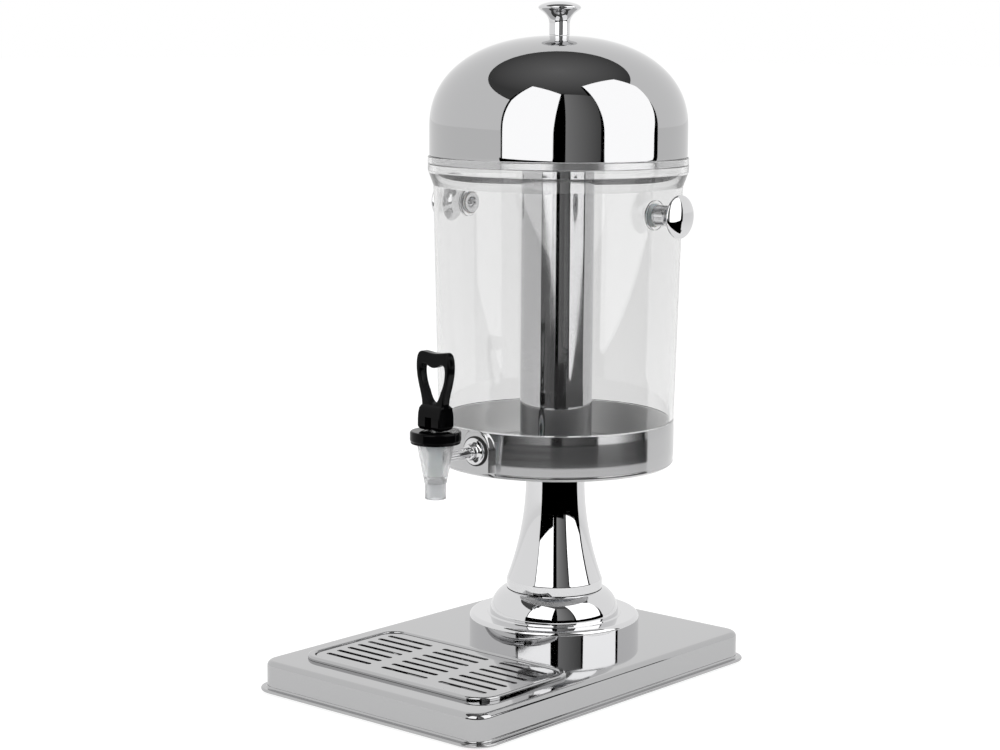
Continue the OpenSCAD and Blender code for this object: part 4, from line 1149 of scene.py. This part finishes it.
# %% Dome by a rule
def make_dome_tree(inputs, columns=193, skirt_rows=32, dome_rows=64, hem_from=0.87):
    tree, given, out = geometry_tree("full_dome", inputs)
    skirt_share = skirt_rows / dome_rows
    sheet = node(
        tree, "GeometryNodeMeshGrid", Size_X=1.0, Size_Y=1 + skirt_share, Vertices_X=columns,
        Vertices_Y=skirt_rows + dome_rows + 1,
    )
    position = node(tree, "GeometryNodeInputPosition").outputs[0]
    place = node(tree, "ShaderNodeSeparateXYZ", Vector=position).outputs
    hows = ("ADD", "SUBTRACT", "MULTIPLY", "DIVIDE", "POWER", "MAXIMUM")
    add, subtract, multiply, divide, power, larger = (partial(maths, tree, how) for how in hows)
    angle = multiply(add(place["X"], 0.5), math.tau)
    upward = add(place["Y"], (1 + skirt_share) / 2 - skirt_share)
    climb = multiply(larger(upward, 0.0), math.pi / 2)
    drop = multiply(maths(tree, "MINIMUM", upward, 0.0), 1 / skirt_share)
    reach = larger(multiply(maths(tree, "COSINE", climb), given["Radius"]), given["Hole"])
    share = divide(larger(reach, given["Flat"]), given["Radius"])
    inner = subtract(1.0, power(share, given["Fullness"]))
    swell = power(larger(inner, 0.0), divide(1.0, given["Fullness"]))
    height = add(multiply(swell, given["Rise"]), multiply(drop, given["Skirt"]))
    turned_in = larger(subtract(maths(tree, "ABSOLUTE", drop), hem_from), 0.0)
    reach = subtract(reach, multiply(power(turned_in, 2.0), given["Hem"]))
    across = multiply(reach, maths(tree, "COSINE", angle))
    along = add(multiply(reach, maths(tree, "SINE", angle)), given["Axis"])
    spot = vector(tree, X=across, Y=along, Z=add(height, given["Spring"]))
    bent = node(tree, "GeometryNodeSetPosition", Geometry=sheet.outputs["Mesh"], Position=spot)
    closed = node(tree, "GeometryNodeMergeByDistance", Geometry=bent.outputs[0], Distance=2e-6)
    closing(tree, out, closed.outputs[0], given["Material"])
    return tree


def make_dome(skirt=23.1, sheet=0.9):
    low, high = box_mm("lid_dome")
    inputs = {
        "Radius": radius_mm("lid_dome") * MM, "Skirt": skirt * MM, "Rise": (high.z - low.z - skirt) * MM,
        "Hem": 9 * MM, "Fullness": 2.22, "Hole": 2.8 * MM, "Flat": 9.4 * MM, "Axis": AXIS_Y * MM,
        "Spring": (low.z + skirt) * MM, "Material": lid_steel,
    }
    dome = run_tree(new_piece("lid_dome_spun", [], []), make_dome_tree(inputs), inputs)
    facing_out(dome, Vector((0, AXIS_Y, low.z)) * MM)
    return thickened(dome, sheet)


def make_lid_ring(sheet=0.9, raised=1.6):
    low, high = box_mm("lid_ring")
    outer, inner, rest = radius_mm("lid_ring"), 104.2, low.z + 8
    foot = low.z + raised
    section = rounded([
        (inner - sheet, foot), (inner, foot, 0.3), (inner, rest), (outer, rest), (outer, high.z),
        (inner - sheet, high.z, 1.2),
    ], steps=5)
    return smooth(lathe("lid_ring_turned", section, steps=192))


dress(make_dome(), lid_steel, "lid", "polished_steel", "lid_dome")
dress(make_lid_ring(), satin_steel, "lid", "polished_steel", "lid_ring")


# %% [markdown]
# ## The tap
# The tap is a chrome shank with a dished flange, a frosted body that narrows to a greyer nozzle, a black
# ring nut and a black loop handle. Everything on the shank's line is turned round an axis that points to
# the front, and everything on the tap's own line round an upright one.

# %% Shank and its washers
AT_TAP = Matrix.Translation((0, TAP_Y, 0))


def make_shank(bore=2.8, thread=6.0, rim=11.0, hub=6.3, bare=4.3):
    low, high = box_mm("tap_shank")
    length, flange = high.y - low.y, high.y - box_mm("tap_washer")[0].y
    dish_foot, dish_top = (rim - 0.4, flange + 1.0), (hub, flange + 5)
    dish = cubic(dish_foot, (hub + 2.5, flange + 1.2), (hub + 0.6, flange + 2.4), dish_top, 14)
    section = rounded([
        (bore, 0), (thread, 0, 0.6), (thread, flange), (rim, flange, 0.3), (rim, flange + 0.9, 0.4), *dish,
        (hub, flange + 7.8, 0.8), (bare, flange + 8, 0.4), (bare, length), (bore, length),
    ], steps=5)
    place = Matrix.Translation((0, high.y, SHANK_Z)) @ FORWARD
    return smooth(lathe("tap_shank_turned", section, place, 96), 40)


def make_tap_washer(hole=6.3):
    low, high = box_mm("tap_washer")
    outer, thickness = radius_mm("tap_washer"), high.y - low.y
    section = rounded([(hole, 0), (outer, 0, 0.4), (outer, thickness, 0.5), (hole, thickness)], 4)
    place = Matrix.Translation((0, high.y, SHANK_Z)) @ FORWARD
    return smooth(lathe("tap_washer_rubber", section, place, 96))


dress(make_shank(), polished_steel, "juice_unit", "polished_steel", "tap_shank")
dress(make_tap_washer(), black_rubber, "juice_unit", "black_rubber", "tap_washer")
recoat(white_silicone, "tap_inner_seal", "tap_inner_nut")


# %% Body and nozzle
def make_tap_body(outlet=5.0, socket=6.45, socket_depth=4.0, foot=8.8, crown=14.4, neck=15.0, wall=2.2):
    low, high = box_mm("tap_body")
    bottom, top, seat = low.z, high.z, low.z + 5.5
    cone_top, inside = SHANK_Z + 11.5, crown - wall - 0.4
    section = rounded([
        (outlet, seat), (outlet, bottom + socket_depth), (socket, bottom + socket_depth), (socket, bottom),
        (foot, bottom, 0.6), (crown, cone_top - 1, 0.4), (crown, cone_top, 0.2), (neck, cone_top, 0.2),
        (neck, top, 0.3), (inside, top, 0.3), (inside, cone_top - 3, 1.5), (foot - wall, seat, 0.6),
    ], steps=5)
    body = lathe("tap_body_moulded", section, AT_TAP, 128)
    shank_bore, bore_depth, bore_start = 4.36, 9, 16
    place = Matrix.Translation((0, TAP_Y + bore_start, SHANK_Z)) @ FORWARD
    return smooth(drill(body, shank_bore, bore_depth, place))


def make_nozzle_piece(bore=5, spigot=6.4):
    low, high = box_mm("tap_nozzle")
    outer, shelf = radius_mm("tap_nozzle"), box_mm("tap_body")[0].z
    section = rounded([
        (bore, low.z, 0.4), (outer, low.z, 0.6), (outer, shelf, 0.4), (spigot, shelf), (spigot, high.z, 0.3),
        (bore, high.z, 0.3),
    ], steps=5)
    return smooth(lathe("tap_nozzle_moulded", section, AT_TAP, 96))


def make_bonnet(thread=15.06, guide=3.3, dip=0.35):
    low, high = box_mm("tap_bonnet")
    outer, height = radius_mm("tap_bonnet"), high.z - low.z
    pocket, dish = low.z + 5.5, high.z - dip
    section = rounded([
        (thread, low.z), (outer - 0.6, low.z, 0.5), (outer - 0.5, low.z + height * 0.2, 0.3),
        (outer, low.z + height * 0.26, 0.3), (outer, high.z, 1.7), (9.6, high.z, 0.4), (9.2, dish, 0.3),
        (guide, dish, 0.2), (guide, pocket), (thread, pocket),
    ], steps=6)
    return smooth(lathe("tap_bonnet_moulded", section, AT_TAP, 128), 40)


dress(make_tap_body(), frosted_plastic, "juice_unit", "frosted_plastic", "tap_body")
dress(make_nozzle_piece(), nozzle_plastic, "juice_unit", "clear_plastic", "tap_nozzle")
dress(make_bonnet(), black_plastic, "juice_unit", "black_plastic", "tap_bonnet")


# %% [markdown]
# ## The soft bell and the stem
# Inside the body a silicone bell shuts the outlet. Its brim is clamped under the bonnet. In the real tap its
# tip rises
# with the stem: the part above its throat stays, the part below it follows the stem, and the skirt between
# them bends. Here the bell is made in its closed shape and stays where it is.

# %% Bell, stem and pin
BRIM_DEPTH, THROAT_DROP = 2.2, 14.5


def make_bell(tip_radius=5.9, throat=5.6, outer=14.7, inner_throat=3.3, head=4.2):
    low, high = box_mm("tap_seat_cup")
    tip, top = low.z, high.z
    brim = top - BRIM_DEPTH
    head_foot, head_top = tip + 2.6, tip + 5.2
    section = rounded([
        (0, tip), (tip_radius, tip, 0.8), (tip_radius, tip + 8, 0.8), (throat, tip + 9, 0.6),
        (throat, brim - 11, 1.2), (9.5, brim - 2, 1.2), (11.4, brim, 0.5), (outer, brim, 0.3),
        (outer, top, 0.3), (8.4, top, 0.6), (7.4, top - 3.6, 0.8), (4.2, brim - 11.8, 0.8),
        (inner_throat, brim - THROAT_DROP, 0.3), (inner_throat, head_top), (head, head_top),
        (head, head_foot), (0, head_foot),
    ], steps=4)
    return smooth(lathe("tap_bell_soft", section, AT_TAP, 64))


bell = coat(make_bell(), white_silicone, "white_silicone", "tap_seat_cup")
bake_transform(bell)
dress(fine_copy("tap_stem_turned", "tap_stem"), polished_steel, "tap_stem", "polished_steel", "tap_stem")
dress(fine_copy("tap_pin_steel", "tap_pin"), polished_steel, "tap_stem", "polished_steel", "tap_pin")


# %% [markdown]
# ## The handle
# The handle is one glossy moulding: a loop for two fingers, shoulders and a forked foot whose working face
# is a cam. A flat outline with a hole, given thickness and a round bevel, makes the loop. The foot is the
# overlap of its side view and its front view, and a slot is cut out for the stem's head.

# %% Handle
LOOP_THICK, LOOP_BAR, LOOP_HEIGHT, LOOP_HALF = 8.5, 5.3, 42.0, 17.5
SHOULDER, FOOT_WIDTH, PIN_DROP, LIFT, TRAVEL = 15.5, 23.0, 5.0, 3.3, math.radians(60)


def above(foot, share):
    """A height over the loop's foot, by its share of the loop's height."""
    return foot + LOOP_HEIGHT * share


def loop_outside():
    foot, top, half, dip = SHOULDER, SHOULDER + LOOP_HEIGHT, LOOP_HALF, LOOP_BAR * 0.19
    root, bulge, crest = FOOT_WIDTH / 2, (half, above(foot, 0.72)), (half * 0.65, top)
    side = [Vector((root, foot * 0.68))]
    side += cubic((root, foot), (root + 0.4, above(foot, 0.22)), (half, above(foot, 0.42)), bulge, 16)
    side += cubic(bulge, (half, above(foot, 0.92)), (half * 0.88, top + 0.2), crest, 14)
    side += cubic(crest, (half * 0.45, top - 0.2), (half * 0.26, top - dip), (0, top - dip), 8)
    return side + [Vector((0, top - dip))] + mirrored(side)


def loop_hole():
    half, foot, top = LOOP_HALF - LOOP_BAR, SHOULDER * 1.06, SHOULDER + LOOP_HEIGHT
    bulge, crest = top - LOOP_HEIGHT * 0.305, top - LOOP_HEIGHT * 0.24
    corner, waist = (half * 0.82, crest), (half * 0.68, above(foot, 0.24))
    crown = cubic((0, bulge), (half * 0.35, bulge), (half * 0.55, crest + 0.6), corner, 8)
    side = cubic(corner, (half * 1.18, crest - 0.5), (half * 1.02, above(foot, 0.4)), waist, 14)
    side += cubic(waist, (half * 0.5, above(foot, 0.08)), (half * 0.3, foot), (0, foot), 8)
    right = crown + side
    return right + [Vector((0, foot))] + mirrored(right[1:])


def cam_point(tilt):
    """A point of the cam's working face, an involute that lifts the stem evenly with the tilt."""
    reach = PIN_DROP + LIFT * tilt
    across = reach * math.sin(tilt) + LIFT * math.cos(tilt)
    return Vector((across, -reach * math.cos(tilt) + LIFT * math.sin(tilt)))


def foot_side():
    face = [cam_point(TRAVEL * i / 16) for i in range(17)]
    belly = face[-1].x
    flank = [(belly, 0.26), (belly * 0.96, 0.56), (belly * 0.82, 0.84), (LOOP_THICK / 2, 1)]
    right = face + [Vector((across, SHOULDER * share)) for across, share in flank]
    return right + mirrored(right)


def foot_front():
    half = FOOT_WIDTH / 2
    corners = [(half, -PIN_DROP, 3), (half, SHOULDER, 2.4), (-half, SHOULDER, 2.4), (-half, -PIN_DROP, 3)]
    return rounded(corners, 8)


def moulding(name, outlines, thickness, bevel, turn):
    """A flat outline with thickness and round edges, that stays inside its own outline."""
    curve = bpy.data.curves.new(name, "CURVE")
    curve.dimensions, curve.fill_mode = "2D", "BOTH"
    curve.extrude = (thickness / 2 - bevel) * MM
    curve.bevel_depth, curve.offset, curve.bevel_resolution = bevel * MM, -bevel * MM, 4
    for outline in outlines:
        spline = curve.splines.new("POLY")
        spline.points.add(len(outline) - 1)
        for point, place in zip(spline.points, outline):
            point.co = (place[0] * MM, place[1] * MM, 0, 1)
        spline.use_cyclic_u = True
    shape = add_object(name, curve)
    mesh = result_of(shape)
    bpy.data.objects.remove(shape)
    piece = add_object(name, mesh)
    piece.data.transform(Matrix.Translation(Vector((0, TAP_Y, PIN_Z)) * MM) @ turn)
    tidy(piece)
    return piece


def make_handle(loop_edge=1.6, foot_edge=1.0, slot_half=3.3, slot_top=6.1, pin_bore=1.54, bore_length=42):
    across = Matrix.Rotation(math.pi / 2, 4, "Z") @ FORWARD
    outlines = [loop_outside(), loop_hole()[::-1]]
    loop = moulding("tap_handle_moulded", outlines, LOOP_THICK, loop_edge, FORWARD)
    foot = moulding("foot", [foot_side()], FOOT_WIDTH, foot_edge, across)
    depth = 2 * (cam_point(TRAVEL).x + 1)
    combine(foot, moulding("front", [foot_front()], depth, 0.4, FORWARD), "INTERSECT")
    combine(loop, foot, "UNION")
    slot_foot = -PIN_DROP - 1
    slot = [(slot_half, slot_foot), (slot_half, slot_top), (-slot_half, slot_top), (-slot_half, slot_foot)]
    combine(loop, moulding("slot", [slot], depth + 4, 0.01, FORWARD), "DIFFERENCE")
    bore = Matrix.Translation((-FOOT_WIDTH, TAP_Y, PIN_Z)) @ sideways(1)
    return smooth(drill(loop, pin_bore, bore_length, bore, 32), 38)


dress(make_handle(), black_plastic, "tap_handle", "black_plastic", "tap_handle")


# %% [markdown]
# ## The studio
# A mirror shows its room, so the room is built as a photographer builds it: two large soft boxes in
# front, black strips beside them, a grey panel between them, a darker ceiling and a dark room below the
# boxes. Only reflections and the view through the vessel see these cards. Floor and background are white
# to the camera, to reflections and to what shines through the vessel, and the floor keeps the object's
# shadow.

# %% Camera
CAMERA = Vector((1213.7, -1407.8, 531.0))
CAMERA_TURN, CAMERA_DIP, CAMERA_ROLL = math.radians(41.0), math.radians(8.524), 0.0057
camera_data = bpy.data.cameras.new("studio_camera")
camera_data.lens, camera_data.sensor_width = 83.02, 36.0
camera_data.clip_end = 50.0
camera = add_object("studio_camera", camera_data)
camera.matrix_world = (
    Matrix.Translation(CAMERA * MM) @ Matrix.Rotation(CAMERA_TURN, 4, "Z")
    @ Matrix.Rotation(math.pi / 2 - CAMERA_DIP, 4, "X") @ Matrix.Rotation(CAMERA_ROLL, 4, "Z")
)
bpy.context.scene.camera = camera
bpy.context.scene.view_settings.view_transform = "Standard"
print("camera at", tuple(round(c, 3) for c in camera.location))


# %% Background light
def seen_rays(tree, camera, glossy, through):
    """A brightness for camera, glossy and transmission rays, and zero for the others."""
    path = node(tree, "ShaderNodeLightPath").outputs
    multiply, larger = partial(maths, tree, "MULTIPLY"), partial(maths, tree, "MAXIMUM")
    direct = multiply(path["Is Camera Ray"], camera)
    mirrored_light = multiply(path["Is Glossy Ray"], glossy)
    return larger(larger(direct, mirrored_light), multiply(path["Is Transmission Ray"], through))


def make_world(ambient=0.62):
    world = bpy.data.worlds.new("studio")
    world.use_nodes = True
    tree = world.node_tree
    tree.nodes.clear()
    strength = maths(tree, "MAXIMUM", seen_rays(tree, 1.0, 0.95, 1.0), ambient)
    light = node(tree, "ShaderNodeBackground", Color=(1, 1, 1, 1), Strength=strength)
    out = node(tree, "ShaderNodeOutputWorld")
    tree.links.new(light.outputs[0], out.inputs[0])
    bpy.context.scene.world = world


def light_material(name):
    """A material with nothing but an output, its tree and the socket of its surface."""
    material = bpy.data.materials.new(name)
    material.use_nodes = True
    tree = material.node_tree
    tree.nodes.clear()
    return material, tree, node(tree, "ShaderNodeOutputMaterial").inputs["Surface"]


def white_light(tree, strength):
    return node(tree, "ShaderNodeEmission", Color=(1, 1, 1, 1), Strength=strength).outputs[0]


def make_floor(colour=0.32, seen=0.84, mirrored_share=0.66, reach=30000.0):
    material, tree, surface = light_material("studio_floor")
    plain = node(tree, "ShaderNodeBsdfDiffuse", Color=(colour, colour, colour, 1)).outputs[0]
    bright = white_light(tree, seen_rays(tree, seen, mirrored_share, seen))
    both = node(tree, "ShaderNodeAddShader", i0=plain, i1=bright)
    tree.links.new(both.outputs[0], surface)
    corners = [(x * reach, y * reach, 0) for x, y in ((-1, -1), (1, -1), (1, 1), (-1, 1))]
    floor = new_piece("studio_floor", corners, [(0, 1, 2, 3)])
    floor.data.materials.append(material)
    return floor


make_world()
make_floor()
print("white floor and background")


# %% Cards
CARD_DISTANCE = 1600.0


def card_corner(azimuth, elevation, height, distance=CARD_DISTANCE):
    """A point seen from a height on the pedestal's axis, in a direction that counts from the camera's."""
    turn = CAMERA_TURN + math.radians(azimuth)
    rise = height + distance * math.tan(math.radians(elevation))
    return Vector((math.sin(turn) * distance, AXIS_Y - math.cos(turn) * distance, rise))


def fading(tree, near, far, start, end):
    """A brightness that runs from near at one point to far at another."""
    along = (end - start) * MM
    shifted = vector_maths(tree, "SUBTRACT", object_place(tree), start * MM)
    share = vector_maths(tree, "DOT_PRODUCT", shifted, along / along.length_squared)
    return spread(tree, share, near, far)


def room_light(name, through):
    """Black in reflections, and dark grey through the vessel, whose walls pass some of the room's light."""
    material, tree, surface = light_material(name)
    tree.links.new(white_light(tree, seen_rays(tree, 0, 0, through)), surface)
    return material


def staged_card(name, corners, faces, material):
    """A card that only reflections and the view through the vessel see."""
    card = new_piece(name, corners, faces)
    card.data.materials.append(material)
    for kind in ("camera", "diffuse", "volume_scatter", "shadow"):
        setattr(card, "visible_" + kind, False)
    return card


TOP_VIEW, LOW_VIEW = 480.0, 130.0
SOFT_BOX, BLACK = 1.9, 0.0


def upright_card(name, bottom, top, near, far=None, behind=0):
    """A flat card, from (azimuth, elevation) pairs. It may fade from its first corner to its second."""
    distance = CARD_DISTANCE + behind
    corners = [card_corner(a, e, LOW_VIEW, distance) for a, e in bottom]
    corners += [card_corner(a, e, TOP_VIEW, distance) for a, e in top]
    material, tree, surface = light_material(name)
    strength = near if far is None else fading(tree, near, far, corners[0], corners[1])
    tree.links.new(white_light(tree, strength), surface)
    return staged_card(name, corners, [tuple(range(len(corners)))], material)


upright_card("soft_box_left", [(-50, 6), (-7, 0)], [(1, 49), (-40, 60), (-49, 35)], SOFT_BOX)
upright_card("soft_box_right", [(38.8, -5), (87.5, 2)], [(97, 42), (90, 58), (33, 61), (35.8, 24)], SOFT_BOX)
upright_card("grey_panel", [(4.5, -5), (34.7, -5)], [(34.7, 44), (4.5, 49)], 0.29, 0.1, behind=20)
upright_card("black_strip_front", [(-9, -30), (6, -30)], [(6, 50), (0, 50)], BLACK, behind=40)
upright_card("black_strip_gap", [(33, -30), (40, -30)], [(38, 60), (30, 60)], BLACK, behind=40)
upright_card("black_edge_left", [(-51.5, 4), (-49, 4)], [(-41, 61), (-51.5, 36)], BLACK, behind=60)
upright_card("black_strip_right", [(86.5, 0), (93.4, 0)], [(93.4, 24), (88, 62)], BLACK, behind=60)


# %% Ceiling and the dark room below the boxes
OVER_FLOOR, LOWEST_EDGE = 2.0, 4.0
# How bright the dark room looks through the vessel, at its sides and in its middle.
SIDE_ROOM, MIDDLE_ROOM = 0.17, 0.05


def make_ceiling(height=3600.0, front=4420.0, side=3400.0, middle=2000.0, steps=64):
    """A dark oval overhead, longer towards the front, that darkens away from the pedestal's axis."""
    ahead = Vector((math.sin(CAMERA_TURN), -math.cos(CAMERA_TURN), 0))
    across = Vector((math.cos(CAMERA_TURN), math.sin(CAMERA_TURN), 0))
    over = Vector((0, AXIS_Y, height))
    centre = over + ahead * middle
    corners = []
    for i in range(steps):
        angle = math.tau * i / steps
        corners.append(centre + ahead * front * math.cos(angle) + across * side * math.sin(angle))
    material, tree, surface = light_material("dark_ceiling")
    at_axis, far_off, darkest_at = 0.2, 0.07, 2.6
    distance = vector_maths(tree, "LENGTH", vector_maths(tree, "SUBTRACT", object_place(tree), over * MM))
    tree.links.new(white_light(tree, spread(tree, distance, at_axis, far_off, end=darkest_at)), surface)
    card = staged_card("dark_ceiling", corners, [tuple(range(steps))], material)
    card.visible_transmission = False
    return card


def make_dark_front(name, edge, through=SIDE_ROOM, near=800.0, far=CARD_DISTANCE + 80):
    """The dark room in front: its floor, and a wall on it up to the soft boxes."""
    corners = []
    for azimuth, elevation in edge:
        upper = card_corner(azimuth, elevation, LOW_VIEW, far)
        upper.z = max(upper.z, LOWEST_EDGE)
        corners += [card_corner(azimuth, 0, OVER_FLOOR, distance) for distance in (near, far)] + [upper]
    faces = []
    for i in range(0, len(corners) - 3, 3):
        faces += [(i, i + 3, i + 4, i + 1), (i + 1, i + 4, i + 5, i + 2)]
    return staged_card(name, corners, faces, room_light(name, through))


def make_low_screen(name, edge, through=SIDE_ROOM, distance=770.0):
    """A dark screen on the floor, given by azimuths and heights."""
    corners = []
    for azimuth, height in edge:
        corners += [card_corner(azimuth, 0, rise, distance) for rise in (OVER_FLOOR, height)]
    faces = [(i, i + 2, i + 3, i + 1) for i in range(0, len(corners) - 3, 2)]
    return staged_card(name, corners, faces, room_light(name, through))


make_low_screen("low_screen_left", [(-52, 224), (-46, 220), (-33, 210), (-20, 199), (-7, 190)])
make_low_screen("low_screen_middle", [(-7, 154), (5, 154), (17, 154), (30, 154)], MIDDLE_ROOM)
make_low_screen("low_screen_right", [(30, 137), (45, 134), (61, 130), (77, 126), (93, 122)])
make_ceiling()
make_dark_front("dark_front_left", [(-53, 6.5), (-50, 6.5), (-28, 3.5), (-7, 0.5)])
make_dark_front("dark_front_middle", [(-7, -5), (4, -5), (15, -5), (26, -5), (38, -5)], MIDDLE_ROOM)
make_dark_front("dark_front_right", [(38, -5), (50, -3.5), (60, -2), (74, 0.5), (88, 2.5), (92, 2.5)])
print("ceiling and dark room in place")


# %% Lamps
def make_lamp(name, azimuth, elevation, distance, size, power):
    """A soft lamp that reflections don't see, because the cards stand for it there."""
    data = bpy.data.lights.new(name, "AREA")
    data.shape, data.size, data.energy = "DISK", size, power
    lamp = add_object(name, data)
    aim = Vector((0, 0, 250))
    turn = CAMERA_TURN + math.radians(azimuth)
    rise = math.radians(elevation)
    away = Vector((math.sin(turn) * math.cos(rise), -math.cos(turn) * math.cos(rise), math.sin(rise)))
    lamp.location = (aim + away * distance) * MM
    lamp.rotation_mode = "QUATERNION"
    lamp.rotation_quaternion = away.to_track_quat("Z", "Y")
    lamp.visible_glossy = False
    return lamp


make_lamp("key_lamp", -38, 38, 2000, 1.1, 14)
make_lamp("fill_lamp", 62, 34, 2000, 1.2, 9)
make_lamp("top_lamp", 160, 68, 2200, 1.6, 10)


# %% End of the scene
print("scene built")
